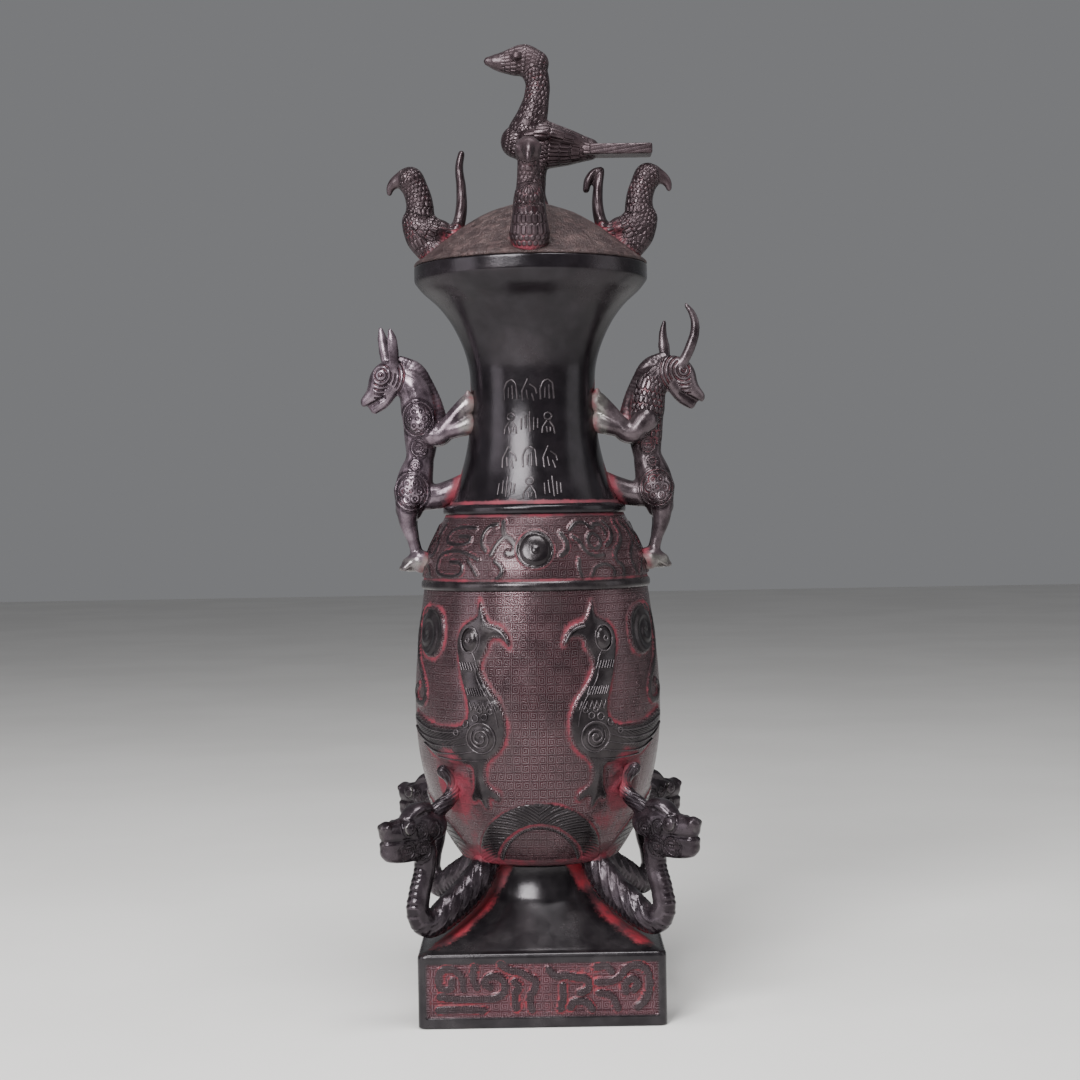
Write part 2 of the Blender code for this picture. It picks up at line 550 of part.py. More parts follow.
def strand(points, flatten=1.0):
    """A cast limb through (x, y, z, radius) points in millimetres, as a bmesh."""
    curve = bpy.data.curves.new("limb", "CURVE")
    curve.dimensions = "3D"
    curve.bevel_depth = 1.0
    curve.bevel_resolution = 3
    curve.resolution_u = 4
    curve.use_fill_caps = True
    spline = curve.splines.new("BEZIER")
    spline.bezier_points.add(len(points) - 1)
    for knot, (x, y, z, radius) in zip(spline.bezier_points, points):
        knot.co = (x, y / flatten, z)
        knot.radius = radius
        knot.handle_left_type = "AUTO"
        knot.handle_right_type = "AUTO"
    guide = bpy.data.objects.new("limb", curve)
    CUTTERS.objects.link(guide)
    bpy.context.view_layer.update()
    graph = bpy.context.evaluated_depsgraph_get()
    mesh = bpy.data.meshes.new_from_object(guide.evaluated_get(graph))
    shape = bmesh.new()
    shape.from_mesh(mesh)
    bmesh.ops.remove_doubles(shape, verts=shape.verts, dist=0.001)
    bmesh.ops.scale(shape, vec=(1.0, flatten, 1.0), verts=shape.verts)
    for end in (0, -1):
        x, y, z, radius = points[end]
        bmesh.ops.create_icosphere(
            shape, subdivisions=2, radius=radius * 0.97,
            matrix=Matrix.Translation((x, y, z)) @ Matrix.Diagonal((1.0, flatten, 1.0, 1.0)),
        )
    bpy.data.objects.remove(guide)
    bpy.data.curves.remove(curve)
    bpy.data.meshes.remove(mesh)
    return shape


def blade(start, end, half_width, half_thickness, rise):
    """A flat tail that tapers a little, as a bmesh in millimetres."""
    shape = bmesh.new()
    middle = Matrix.Translation(((start + end) / 2.0, 0.0, rise))
    size = Matrix.Diagonal((end - start, 2.0 * half_width, 2.0 * half_thickness, 1.0))
    bmesh.ops.create_cube(shape, size=1.0, matrix=middle @ size)
    return shape


def other_side(points):
    """The same limb on the other side of the animal."""
    return tuple((x, -y, z, radius) for x, y, z, radius in points)


def animal(name, shapes, matrix, faces, tools, material):
    """Join limbs into one cast skin, thin it to a face count, and fit it to what it is fixed to."""
    mesh = bpy.data.meshes.new(name)
    whole = bmesh.new()
    for shape in shapes:
        part = bpy.data.meshes.new("part")
        shape.to_mesh(part)
        whole.from_mesh(part)
        bpy.data.meshes.remove(part)
        shape.free()
    bmesh.ops.transform(whole, matrix=matrix @ Matrix.Scale(0.001, 4), verts=whole.verts)
    bmesh.ops.recalc_face_normals(whole, faces=whole.faces)
    whole.to_mesh(mesh)
    whole.free()
    made = link(name, mesh, PARTS)
    skin = made.modifiers.new("Skin", "REMESH")
    skin.mode = "VOXEL"
    skin.voxel_size = VOXEL
    bpy.context.view_layer.update()
    graph = bpy.context.evaluated_depsgraph_get()
    count = 2 * len(made.evaluated_get(graph).data.polygons)
    thin = made.modifiers.new("Thin", "DECIMATE")
    thin.ratio = min(1.0, faces / count)
    thin.use_collapse_triangulate = True
    for tool in tools:
        boolean(made, tool, "DIFFERENCE")
    made.data.materials.append(material)
    return made


def beast_shapes(ear, horn):
    """One climbing beast's limbs."""
    shapes = [strand(BEAST_TRUNK, 0.95), strand(BEAST_HEAD, 0.9), strand(BEAST_JAW, 0.9), strand(BEAST_MANE, 0.7)]
    shapes += [strand(BEAST_RUMP, 1.0), strand(ear, 0.6), strand(horn, 0.8)]
    for limb in (BEAST_HINDLEG, BEAST_FOOT, BEAST_FORELEG, BEAST_FAR_PAW):
        shapes.append(strand(limb))
        shapes.append(strand(other_side(limb)))
    return shapes


def make_beasts(skin):
    """The two handles, which face outward and grip the neck."""
    material = bronze("dark bronze with silver wear", (0.040, 0.034, 0.038), 0.38)
    at = Matrix.Translation((NECK_RADIUS, 0.0, NECK_LEVEL))
    right = beast_shapes(BEAST_EAR_RIGHT, BEAST_HORN_RIGHT)
    animal("handle_beast_right", right, at, BEAST_FACES, (skin,), material)
    left = beast_shapes(BEAST_EAR_LEFT, BEAST_HORN_LEFT)
    mirror = Matrix.Diagonal((-1.0, 1.0, 1.0, 1.0))
    animal("handle_beast_left", left, mirror @ at, BEAST_FACES, (skin,), material)


def dragon_shapes():
    """One corner dragon's limbs."""
    x, y, z, radius = DRAGON_EYE
    shapes = [strand(DRAGON_BODY, 0.85), strand(DRAGON_HEAD, 0.85), strand(DRAGON_JAW), strand(DRAGON_BROW, 2.0)]
    shapes += [strand(DRAGON_CREST, 0.9)]
    for centre in ((x, y, z, radius), (x, -y, z, radius), DRAGON_NOSE):
        knob = bmesh.new()
        bmesh.ops.create_icosphere(knob, subdivisions=2, radius=centre[3], matrix=Matrix.Translation(centre[:3]))
        shapes.append(knob)
    return shapes


def make_dragons(skin, foot_skin):
    """Four dragons, one over each corner of the plinth."""
    material = bronze("grey black bronze", (0.036, 0.032, 0.036), 0.36)
    outward = (PLINTH_SIDE - 0.150) / math.sqrt(2.0)
    for name, x_sign, y_sign in (
        ("corner_dragon_front_left", -1.0, -1.0),
        ("corner_dragon_front_right", 1.0, -1.0),
        ("corner_dragon_back_left", -1.0, 1.0),
        ("corner_dragon_back_right", 1.0, 1.0),
    ):
        mirror = Matrix.Diagonal((x_sign, y_sign, 1.0, 1.0))
        turn = Matrix.Rotation(math.radians(DRAGON_TURN), 4, "Z")
        at = mirror @ turn @ Matrix.Translation((outward, 0.0, FOOT_LEVEL))
        animal(name, dragon_shapes(), at, DRAGON_FACES, (skin, foot_skin), material)


def make_lid_birds(lid_skin):
    """The finial bird and the four birds round the dome, cut to sit on it."""
    material = bronze("brown black bronze", (0.045, 0.036, 0.038), 0.40)
    shapes = [strand(FINIAL_BODY, 0.85), strand(FINIAL_NECK, 0.9), strand(FINIAL_HEAD, 0.8), strand(FINIAL_STEM)]
    tail = (FINIAL_TAIL_START, FINIAL_TAIL_END, FINIAL_TAIL_HALF_WIDTH, FINIAL_TAIL_HALF_THICKNESS)
    shapes.append(blade(*tail, FINIAL_TAIL_RISE))
    at = Matrix.Translation((0.0, 0.0, SEAT_LEVEL + LID_HEIGHT))
    animal("finial_bird", shapes, at, FINIAL_FACES, (lid_skin,), material)
    for name, turn, tails, rise in (
        ("lid_bird_front", -90.0, (LID_BIRD_TAIL,), FRONT_BIRD_RISE),
        ("lid_bird_right", 0.0, (LID_BIRD_TAIL, LID_BIRD_TAIL_HOOK), 0.0),
        ("lid_bird_back", 90.0, (LID_BIRD_TAIL,), 0.0),
        ("lid_bird_left", 180.0, (LID_BIRD_LONG_TAIL,), 0.0),
    ):
        shapes = [strand(LID_BIRD_BODY, 0.9), strand(LID_BIRD_NECK), strand(LID_BIRD_BEAK, 0.8)]
        shapes += [strand(LID_BIRD_BREAST), strand(LID_BIRD_PAD)]
        shapes += [strand(tail, 1.8) for tail in tails]
        spin = Matrix.Rotation(math.radians(turn), 4, "Z")
        at = spin @ Matrix.Translation((LID_BIRD_SEAT, 0.0, SEAT_LEVEL + 0.30 * LID_HEIGHT + rise))
        animal(name, shapes, at, LID_BIRD_FACES, (lid_skin,), material)


for old in list(bpy.data.objects):
    bpy.data.objects.remove(old)
PARTS = bpy.data.collections.new("lidded bronze vase")
CUTTERS = bpy.data.collections.new("cutters")
CUTTERS.hide_render = True
bpy.context.scene.collection.children.link(PARTS)
bpy.context.scene.collection.children.link(CUTTERS)

BODY = body_profile()
FOOT = foot_solid("foot and plinth", 0.0, 0.0, 0.004, CUTTERS)
make_vessel(BODY, FOOT)
make_lid()
SKIN = turned("vessel skin", grown([(RIM_RADIUS, RIM_LEVEL + GAP)] + BODY, GAP), CUTTERS)
FOOT_SKIN = foot_solid("foot skin", -GAP, GAP, 0.004, CUTTERS)
crown = [(r + GAP, z + GAP) for r, z in reversed(lid_outline(0.0, 0.0))]
crown.insert(0, (0.004, SEAT_LEVEL + LID_HEIGHT + GAP))
crown.append((RIM_RADIUS + GAP, SEAT_LEVEL))
crown.append((RIM_RADIUS + GAP, SEAT_LEVEL - LID_HEIGHT))
LID_SKIN = turned("lid skin", crown, CUTTERS)
make_beasts(SKIN)
make_dragons(SKIN, FOOT_SKIN)
make_lid_birds(LID_SKIN)
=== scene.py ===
"""Lidded bronze vase: the dressed model, its finishes, the studio and the camera.

Tables are in millimetres; meshes are made in metres, with the origin under the middle of the plinth.
"""

import math

import bmesh
import bpy
import numpy as np
from mathutils import Matrix, Vector


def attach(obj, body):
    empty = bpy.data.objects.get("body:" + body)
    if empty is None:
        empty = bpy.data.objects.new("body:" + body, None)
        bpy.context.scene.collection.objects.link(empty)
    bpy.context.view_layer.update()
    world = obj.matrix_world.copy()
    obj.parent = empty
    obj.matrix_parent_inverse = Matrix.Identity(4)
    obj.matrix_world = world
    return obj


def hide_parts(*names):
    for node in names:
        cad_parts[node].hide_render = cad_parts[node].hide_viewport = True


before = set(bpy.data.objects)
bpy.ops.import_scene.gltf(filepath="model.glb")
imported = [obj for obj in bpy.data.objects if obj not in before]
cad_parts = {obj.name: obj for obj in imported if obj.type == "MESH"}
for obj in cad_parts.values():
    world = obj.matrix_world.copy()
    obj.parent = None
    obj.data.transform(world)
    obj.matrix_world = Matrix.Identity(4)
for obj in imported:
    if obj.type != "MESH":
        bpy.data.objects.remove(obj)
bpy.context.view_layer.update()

# Heights and widths of the vessel
PLINTH_TOP = 45.0
COLLAR_FOOT = 74.0
WAIST = 94.0
LOWER_RING = 262.0
UPPER_RING = 308.5
RIM = 464.5
RING_HEIGHT = 6.0
BELLY_LEVEL = WAIST + 0.55 * (LOWER_RING - WAIST)
NARROW_LEVEL = UPPER_RING + 0.485 * (RIM - UPPER_RING)
LIP = RIM - 9.0
PLINTH_HALF = 75.0
COLLAR_RADIUS = 38.0
FOOT_TOP_RADIUS = 41.5
WAIST_RADIUS = 50.0
BELLY_RADIUS = 77.5
RING_RADIUS = 70.8
NECK_FOOT_RADIUS = 56.2
NECK_RADIUS = 39.1
RIM_RADIUS = 73.6
RING_STAND = 1.6
RING_ROLL = 2.6
WALL = 4.0
LID_SEAT = RIM + 0.3
LID_HEIGHT = 40.0
DEGREE = math.pi / 180.0 * BELLY_RADIUS

MOUTH_FLARE = ((0.0, 0.0), (0.25, 0.035), (0.40, 0.115), (0.55, 0.245), (0.68, 0.40), (0.80, 0.60), (0.92, 0.87),
               (1.0, 1.0))
DOME = ((0.0, 1.0), (0.10, 0.99), (0.25, 0.92), (0.45, 0.77), (0.60, 0.60), (0.735, 0.42), (0.89, 0.19),
        (0.99, 0.06))

# Relief on the body, as degrees round from the front and heights
BIRD_OUTLINE = (
    (28.2, 258), (25.7, 251.2), (23.9, 245.6), (22.3, 243.1), (18.2, 242.2), (14.3, 238.6), (12.4, 233.6),
    (12.2, 227.8), (14.5, 232.4), (17.1, 234.6), (21.1, 234.2), (22.5, 231.6), (22.9, 227.3), (25.3, 222.5),
    (26.3, 216.5), (24.1, 209.4), (20.2, 202.3), (16.9, 196.4), (14.7, 188.6), (13.9, 179.6), (15, 172.3),
    (17.6, 166.2), (21.6, 162.4), (24.8, 158), (25.8, 151.8), (25.2, 146.5), (22.5, 143), (19.2, 140.4),
    (18.2, 136), (20.6, 134.8), (24.2, 138.2), (25.6, 135), (25, 131), (28, 130), (29.4, 134.5), (31.2, 136.5),
    (34, 133.8), (35.6, 137), (32.4, 142.5), (31.6, 150), (31.4, 157), (36.4, 157.8), (42.6, 157.6),
    (49.6, 157.9), (55.6, 160.8), (61.5, 165), (67.6, 169.5), (74, 175.5), (77, 182), (76, 187), (68.5, 185),
    (59.3, 181.8), (50.9, 179.8), (40.7, 179.9), (35.9, 181.5), (33, 185.1), (32.4, 189.8), (32.9, 197),
    (35.2, 205.9), (37.1, 213.7), (37.9, 219.7), (39.4, 226.9), (39.8, 234.1), (37.7, 240.6), (33.2, 244.4),
    (28.8, 247), (28.5, 251.2),
)
PLUME_OUTLINE = (
    (50.6, 247.5), (55.8, 252.1), (65.8, 252.9), (71, 249), (72, 242), (71.5, 236), (70.4, 230), (67.2, 224.1),
    (60.6, 221), (55, 221.5), (50.6, 225.6), (48.6, 233.7), (49.1, 242.8),
)
PLUME_CURL = (63.5, 236.5)
STRAND_PATH = (
    (67, 251.5), (74, 248.5), (76.5, 241), (76.8, 231), (74, 221), (68, 212), (63.5, 205), (62, 198),
    (64.5, 192.5), (70, 191.5), (75.5, 195), (76.5, 201), (72, 203.5),
)
HEEL_SCROLL_PATH = ((37, 150), (40, 154), (44, 151), (43, 145), (38.5, 141), (44, 136.5), (50, 138), (52, 144))
# Thin raised lines of one relief bird: half thickness, then (degrees, level) points
THREADS = (
    (0.45, ((32.6, 175.7), (40.2, 172.4), (50.4, 171.5), (64.1, 173.5), (73, 178))),
    (0.45, ((32.7, 170.8), (41.6, 168.3), (54.7, 167.8), (66, 171.5), (73.5, 177.5))),
    (0.45, ((29.1, 166.3), (39.4, 163.9), (53.5, 163.5), (64, 168.5))),
    (0.40, ((35.4, 178.2), (43.2, 176.3), (58.5, 177.2), (72, 182.5))),
    (0.40, ((24, 161), (33, 160), (43, 160.2), (52, 161.2))),
    (0.80, ((22.8, 241), (18.4, 239.8), (15.0, 236.4), (13.2, 231.5))),
    (0.40, ((30.2, 226), (27.8, 220), (28.2, 212), (25.5, 205), (21.8, 198.5), (18.8, 190.5), (17.6, 181))),
)
THREAD_ROUNDS = (
    (0.45, 32.1, 233.3, 6.3, 8.0), (0.40, 32.1, 233.3, 1.5, 1.5), (0.50, 25.9, 174.3, 9.3, 9.3),
    (0.40, 23.9, 187.2, 2.0, 2.0), (0.40, 28.4, 186.4, 2.3, 2.3), (0.40, 33.6, 182.6, 2.2, 2.2),
    (0.40, 38.8, 177.0, 1.8, 1.8), (0.40, 21.0, 190.6, 1.6, 1.6), (0.40, 25.8, 191.0, 1.6, 1.6),
)
THREAD_BANDS = ((217.5, 27.6, 36.0, 7, 1), (202.2, 22.8, 32.2, 9, 1), (193.6, 19.0, 30.6, 11, -1))
TAIL_LINE = ((30, 168), (42, 168.5), (54, 170.5), (66, 173), (78, 174.5))
EYE_AT = (32.0, 233.2)
WING_AT = (26.0, 173.5)
WING_RADIUS = 9.6
WING_PITCH = 4.4
PLUME_PITCH = 7.5
BIRD_STAND = 1.6
EYE_RADIUS = 5.0
ARCH_LINE = ((0, 128), (8, 127), (16, 122.5), (24, 115.5), (30.5, 107.5), (35.5, 98), (37, 94.5))
ARCH_HALF_WIDTH = 7.0
ARCH_TOP = 139.0
ARCH_SQUEEZE = 0.86
ROPE_PITCH = 5.2
SHOULDER_PATHS = (
    (2.0, ((-18.5, 304), (-17.4, 296.2), (-12.8, 293.6), (-9.9, 289), (-11.2, 284.8), (-14.2, 285.2))),
    (1.7, ((-17.2, 295), (-20.5, 291), (-23.1, 284))),
    (1.7, ((-22, 302.5), (-26.8, 302), (-30.1, 297), (-29.2, 290), (-26.4, 287))),
    (1.6, ((-20.5, 280.5), (-16.8, 277), (-16.4, 273), (-19, 270))),
    (1.5, ((-35.5, 300.5), (-46, 301.5), (-55.9, 299), (-57, 292.5), (-48, 290.5), (-38, 291), (-37, 295.5),
           (-46, 295.6))),
    (1.5, ((-30, 281.5), (-40, 286.5), (-50, 286.8), (-58.5, 284.5), (-60, 276), (-56, 271.8), (-45, 271), (-39, 273),
           (-39.5, 279.6), (-48, 280.2))),
    (1.3, ((-30, 272), (-33, 277), (-36, 281))),
    (1.8, ((-66, 302), (-68, 295), (-64, 289), (-68, 283), (-76, 284), (-78, 291), (-73, 294))),
    (1.6, ((-66, 272), (-70, 277.5), (-78, 277), (-83, 271))),
    (1.6, ((-84, 302), (-81, 297), (-85, 290), (-88, 284))),
    (1.9, ((14.4, 296.5), (17.4, 291), (16.6, 286), (13.2, 283.5))),
    (1.6, ((20, 299), (24, 303), (30, 303.2), (33.6, 299), (37, 302.5), (42, 301), (42.5, 296))),
    (1.5, ((33.5, 296.4), (37, 294), (37.2, 289.5), (33.4, 286.6), (29.6, 288.4), (29, 293.4), (32, 296.2))),
    (1.6, ((21, 294.5), (24.8, 291.2), (26, 286.4), (30, 282.5), (37, 283))),
    (1.5, ((22.6, 281), (21.6, 276), (23, 270.6))),
    (1.4, ((29, 271), (31, 276.5), (38, 278), (43, 274), (42, 270.5))),
    (1.6, ((44, 303.5), (48.5, 298), (45, 291.5), (40.5, 288.6))),
    (1.6, ((54, 303), (56, 296), (52, 290), (45.5, 285), (44.5, 279.5), (50, 276), (49, 270.5))),
    (1.6, ((60.4, 303), (65.5, 298), (66, 290), (59, 285.5), (57, 279), (61, 272))),
    (1.7, ((70, 303), (73, 297), (71, 290), (76, 285), (82, 288), (81, 295), (76, 297))),
    (1.5, ((67, 272), (70, 279), (77, 280), (81, 275), (86, 272))),
)
BOSS_LEVEL = 287.4
BOSS_RADIUS = 11.6
SHOULDER_MEAN_RADIUS = 68.0

# The strokes on the neck: degrees of the columns, levels of the rows and half thickness
STROKE_COLUMNS = (-20.0, -3.0, 13.5)
STROKE_ROWS = (385.0, 364.5, 343.5, 324.5)
STROKE_HALF = 0.68

# Scrolls on one plinth side, from its middle outwards and up
PLINTH_PATHS = (
    ((-47.5, 24), (-48.5, 32), (-54, 36.5), (-61, 36), (-63.5, 30), (-61, 23), (-55, 24), (-54.5, 29)),
    ((-62, 19.5), (-52, 18), (-40, 17.6), (-27, 18), (-21.5, 23.5), (-24.5, 31), (-32, 32), (-36, 27), (-31.5, 25)),
    ((-63, 11.5), (-50, 12), (-36, 11)),
    ((-41, 37), (-42.5, 31), (-39.5, 25)),
    ((-25, 38.5), (-20, 35), (-13, 34), (-8, 30.5), (-3.5, 28.5), (-4.5, 23), (-8, 19), (-6.5, 11)),
    ((-17, 28), (-13.5, 24.5), (-17, 21), (-16, 12)),
    ((4, 35), (8, 30.5), (14, 31.5), (20, 30), (27.5, 29.5), (28.7, 23), (23, 20.5)),
    ((12.5, 25), (12.8, 18), (11, 11.5)),
    ((17, 12), (19, 16), (27, 15.5), (30, 11)),
    ((33.5, 27), (42, 27), (47.5, 30), (51, 35.5), (58, 37.5), (64, 34), (65.4, 24), (62.5, 15.5), (57.5, 11.5)),
    ((33, 36), (39, 37), (42, 33.5)),
    ((34.5, 20.5), (42.5, 19), (45.5, 11)),
    ((50.5, 21), (50, 26.5), (55, 29.5), (58.5, 25.5), (55.5, 22)),
)
PANEL_SINK = 1.5
RIBBON_HALF = 2.6

# The climbing beast: outward from the neck, sideways, up from the upper ring, and radius
BEAST_TRUNK = ((46, 0, 88, 8), (37, 0, 82, 11), (32.5, 0, 66, 12.2), (32, 0, 50, 11), (33, 0, 36, 9),
               (36, 0, 24, 11.5), (38, 0, 14, 12.6), (40.5, 0, 4, 9))
BEAST_HEAD = ((46, 0, 91, 8.4), (54.5, 0, 89, 8.2), (60, 0, 78, 6.9), (65.8, 0, 72.5, 4.5))
BEAST_JAW = ((50, 0, 81, 5.6), (56, 0, 72, 4.4), (61, 0, 67.5, 3))
BEAST_MANE = ((44, 0, 97, 4.6), (35, 0, 91.5, 6), (30, 0, 82, 6.8), (25.5, 0, 71, 7.2), (22, 0, 60, 7))
BEAST_FORELEG = ((32, 7, 58, 8.2), (22, 9, 50, 6.8), (14, 8.5, 57, 5.8), (7, 8, 65, 5.8), (1, 7.5, 70, 6.8))
BEAST_FAR_PAW = ((22, 9, 52, 5.5), (10, 10, 54, 5), (1, 9, 57, 6))
BEAST_RUMP = ((34, 0, 13, 10), (23, 0, 12, 8.2), (13, 0, 15, 8.0), (3, 0, 19, 8.2))
BEAST_HINDLEG = ((41, 5.5, 8, 8), (41, 6.5, -4, 5.6), (38, 7, -16, 3.5), (36.5, 7.2, -24, 3.4), (38, 7.5, -30, 4.6))
BEAST_FOOT = ((28, 7, -30.5, 6.6), (35, 7.5, -29, 7.2), (40.5, 8, -30.5, 5.0))
BEAST_TOES = (
    ((39.5, 4.8, -30.5, 2.6), (43.6, 4.4, -33, 2.0)),
    ((40.5, 8, -30.3, 2.6), (45, 8.2, -33, 2.1)),
    ((39.5, 11.2, -30.5, 2.6), (43.2, 12.2, -33, 2.0)),
    ((3, 5.6, 71.5, 2.4), (1.5, 5.2, 77, 1.8)),
    ((3, 9, 71.5, 2.4), (1.5, 9.6, 77, 1.8)),
)
BEAST_BROW = ((49, 4.2, 95, 2.2), (54, 5.4, 93.5, 1.9), (58.5, 4.2, 87, 1.5))
BEAST_EAR_RIGHT = ((46, 6, 92, 3.2), (45, 7, 105, 3.8), (44.5, 7.5, 114, 2.6), (45.5, 7.5, 121, 1.4))
BEAST_HORN_RIGHT = ((55, -5, 92, 3.4), (61, -6, 104, 3.4), (64, -6.5, 116, 3), (62.5, -6.5, 124, 2.4),
                    (58.5, -6.5, 130, 1.4))
BEAST_EAR_LEFT = ((48, -6, 92, 3.2), (48.5, -7, 104, 3.8), (49, -7.5, 112, 3.2), (50, -7.5, 117, 1.6))
BEAST_HORN_LEFT = ((52, 5, 92, 3.4), (54.5, 6, 104, 3.8), (56, 6.5, 113, 3.2), (57, 6.5, 119, 1.6))
BEAST_MEDALLIONS = ((33.5, 61, 10.4), (38.2, 15.5, 11.2), (33, 42.5, 5.4), (35.5, 32, 3.6))
BEAST_EYE = (56.5, 6.2, 89, 2.2)
MEDALLION_RIM = 2.6
CURL_PITCH = 1.9
CHEEK_PITCH = 2.7
MANE_PITCH = 2.5

# The corner dragon: outward along its own upright plane, sideways, up from the plinth's top, and radius
DRAGON_TURN = 44.0
DRAGON_BODY = ((44, 0, 50, 9), (51, 0, 42, 10), (62, 0, 32, 10.5), (76, 0, 24, 10.2), (88, 0, 18, 9),
               (96.5, 0, 17.5, 8.2), (102.5, 0, 24, 7.8), (101.5, 0, 36, 7.2), (97, 0, 50, 7.2), (96.5, 0, 62, 8))
DRAGON_HEAD = ((89, 0, 76, 9), (99, 0, 77, 10.4), (110, 0, 75.5, 9.6), (119, 0, 75, 8.4), (124, 0, 75.5, 7.2))
DRAGON_JAW = ((98, 0, 64, 7), (110, 0, 62.5, 6.2), (119, 0, 62.5, 5.6), (124, 0, 63, 5.2))
DRAGON_LIPS = ((100, 0, 69.5, 7.4), (111, 0, 69, 7.6), (119, 0, 69, 7.0), (124.5, 0, 69, 6.2))
DRAGON_BROW = ((96, 0, 88, 3.4), (104, 0, 87.5, 3.6), (111, 0, 83, 3))
DRAGON_CREST = ((92, 0, 80, 6.5), (84, 0, 86, 5.4), (76, 0, 91, 5), (72, 0, 98, 5), (76, 0, 105, 4.6),
                (81, 0, 108, 4.2))
DRAGON_EYE = (114.5, 6.4, 78, 4.0)
DRAGON_NOSE = (126.5, 0, 78, 5.0)
DRAGON_NOSTRIL = (128, 3.4, 79, 2.3)
DRAGON_LIP = (125, 0, 64.5, 5.4)
DRAGON_CHEEKS = ((115, 64.5, 5.6), (102.5, 63.5, 5.8), (95.5, 73.5, 5.4), (105.5, 75.5, 4.2))
DRAGON_MOUTH = 71.0
FLAME_PITCH = 6.6
PLATE_PITCH = 3.6

# The finial bird: towards its tail, sideways, up from the dome's top, and radius
FINIAL_BODY = ((-7, 0, 39, 11), (0, 0, 38, 14), (11, 0, 36.5, 15.4), (24, 0, 35, 12), (38, 0, 33.5, 7.4))
FINIAL_NECK = ((-1, 0, 45, 12), (3, 0, 56, 9.8), (5.5, 0, 66, 8.2), (6.4, 0, 76, 7.8), (4, 0, 85, 8.6))
FINIAL_HEAD = ((5, 0, 88, 9.2), (-2, 0, 90, 10.6), (-9, 0, 89.5, 9), (-15.5, 0, 89.2, 6.8), (-21, 0, 89.6, 4.9),
               (-24.4, 0, 90, 3.2))
FINIAL_STEM = ((2, 0, -4, 11), (2, 0, 6, 8.4), (3, 0, 18, 8), (4, 0, 32, 10))
FINIAL_WING = ((-2, 10.8, 40, 3.5), (10, 12.6, 42, 5), (24, 9.6, 39, 4), (36, 5.5, 35, 2.4))
FINIAL_EYE = (-6.5, 7.9, 91.2, 3.3)
FINIAL_TAIL = (34.0, 78.0, 9.0, 3.4, 32.5)

# A small lid bird: outward from its seat, sideways, up from the seat, and radius
LID_BIRD_SEAT = 61.5
LID_BIRD_RISE = 0.30 * LID_HEIGHT
FRONT_BIRD_RISE = 4.5
LID_BIRD_BODY = ((-15, 0, 7, 6), (-6, 0, 8.5, 9.8), (3, 0, 11, 11.4), (9.5, 0, 17, 10.4))
LID_BIRD_NECK = ((8, 0, 20, 9.6), (8, 0, 29, 8.6), (10.5, 0, 38, 8.2), (13.5, 0, 44, 8.8))
LID_BIRD_BREAST = ((10, 0, 15, 9.6), (7.5, 0, 7, 9.6), (3, 0, -1, 8))
LID_BIRD_TAIL_HOOK = ((-16, 0, 48, 2.4), (-20, 0, 47, 2.5), (-24, 0, 42, 2.7), (-25.5, 0, 36, 2.2))
LID_BIRD_BEAK = ((16, 0, 44.5, 7.4), (22, 0, 43, 4.6), (26, 0, 39.5, 2.9), (27, 0, 36, 2.0))
LID_BIRD_PAD = ((-5, 0, -4, 11), (0, 0, 1, 10))
LID_BIRD_TAIL = ((-14, 0, 8, 4.4), (-18, 0, 22, 3.8), (-18, 0, 36, 3.2), (-16, 0, 47, 2.4))
LID_BIRD_LONG_TAIL = (
    (-14, 0, 8, 4.4), (-18, 0, 22, 3.8), (-18.5, 0, 38, 3.2), (-17.5, 0, 52, 2.6), (-19, 0, 60, 2.2),
)
LID_BIRD_WING = ((5, 6.9, 14, 3.2), (-4, 6.9, 11, 3.4), (-13, 4, 10, 2.4))
LID_BIRD_EYE = (18, 6.2, 46, 1.9)
FRONT_BIRD_NECK = ((8, 0, 20, 8.2), (8, 0, 29, 7.2), (10.5, 0, 36, 6.8), (11.5, 0, 40, 6.8))
FRONT_BIRD_HEAD = ((12, 0, 44.5, 8.0), (15, 0, 44.5, 8.2))
FRONT_BIRD_BREAST = ((10, 0, 16, 8.8), (8, 0, 7, 10.4), (5, 0, -5, 12.6))

# Small values of the finish
SKIN_VOXEL = 0.88
CLOSED = 0.05
PAW_LEVEL = 378.0
RUMP_LEVEL = 327.0
GROOVE = 0.45
CELLS_ROUND = 92
PLINTH_CELL = 0.0052
THREAD_LIFT = 0.30


# Small maths on arrays

def ease(x):
    """A smooth step from 0 to 1."""
    x = np.clip(x, 0.0, 1.0)
    return x * x * (3.0 - 2.0 * x)


def dome(x):
    """A quarter round from 0 to 1, for the rolled edge of cast relief."""
    x = np.clip(x, 0.0, 1.0)
    return np.sqrt(1.0 - (1.0 - x) ** 2)


def bell(x, width):
    """1 at zero, falling softly to both sides."""
    return np.exp(-((x / width) ** 2))


def fade(x, length):
    """1 up to zero, fading beyond it."""
    return np.exp(-np.maximum(0.0, x) / length)


def through(table, x):
    """A smooth curve through the table's points."""
    xs = np.array([p[0] for p in table], float)
    ys = np.array([p[1] for p in table], float)
    slopes = np.gradient(ys, xs)
    x = np.clip(x, xs[0], xs[-1])
    i = np.clip(np.searchsorted(xs, x) - 1, 0, len(xs) - 2)
    h = xs[i + 1] - xs[i]
    t = (x - xs[i]) / h
    return (
        (2 * t**3 - 3 * t**2 + 1) * ys[i]
        + (t**3 - 2 * t**2 + t) * h * slopes[i]
        + (3 * t**2 - 2 * t**3) * ys[i + 1]
        + (t**3 - t**2) * h * slopes[i + 1]
    )


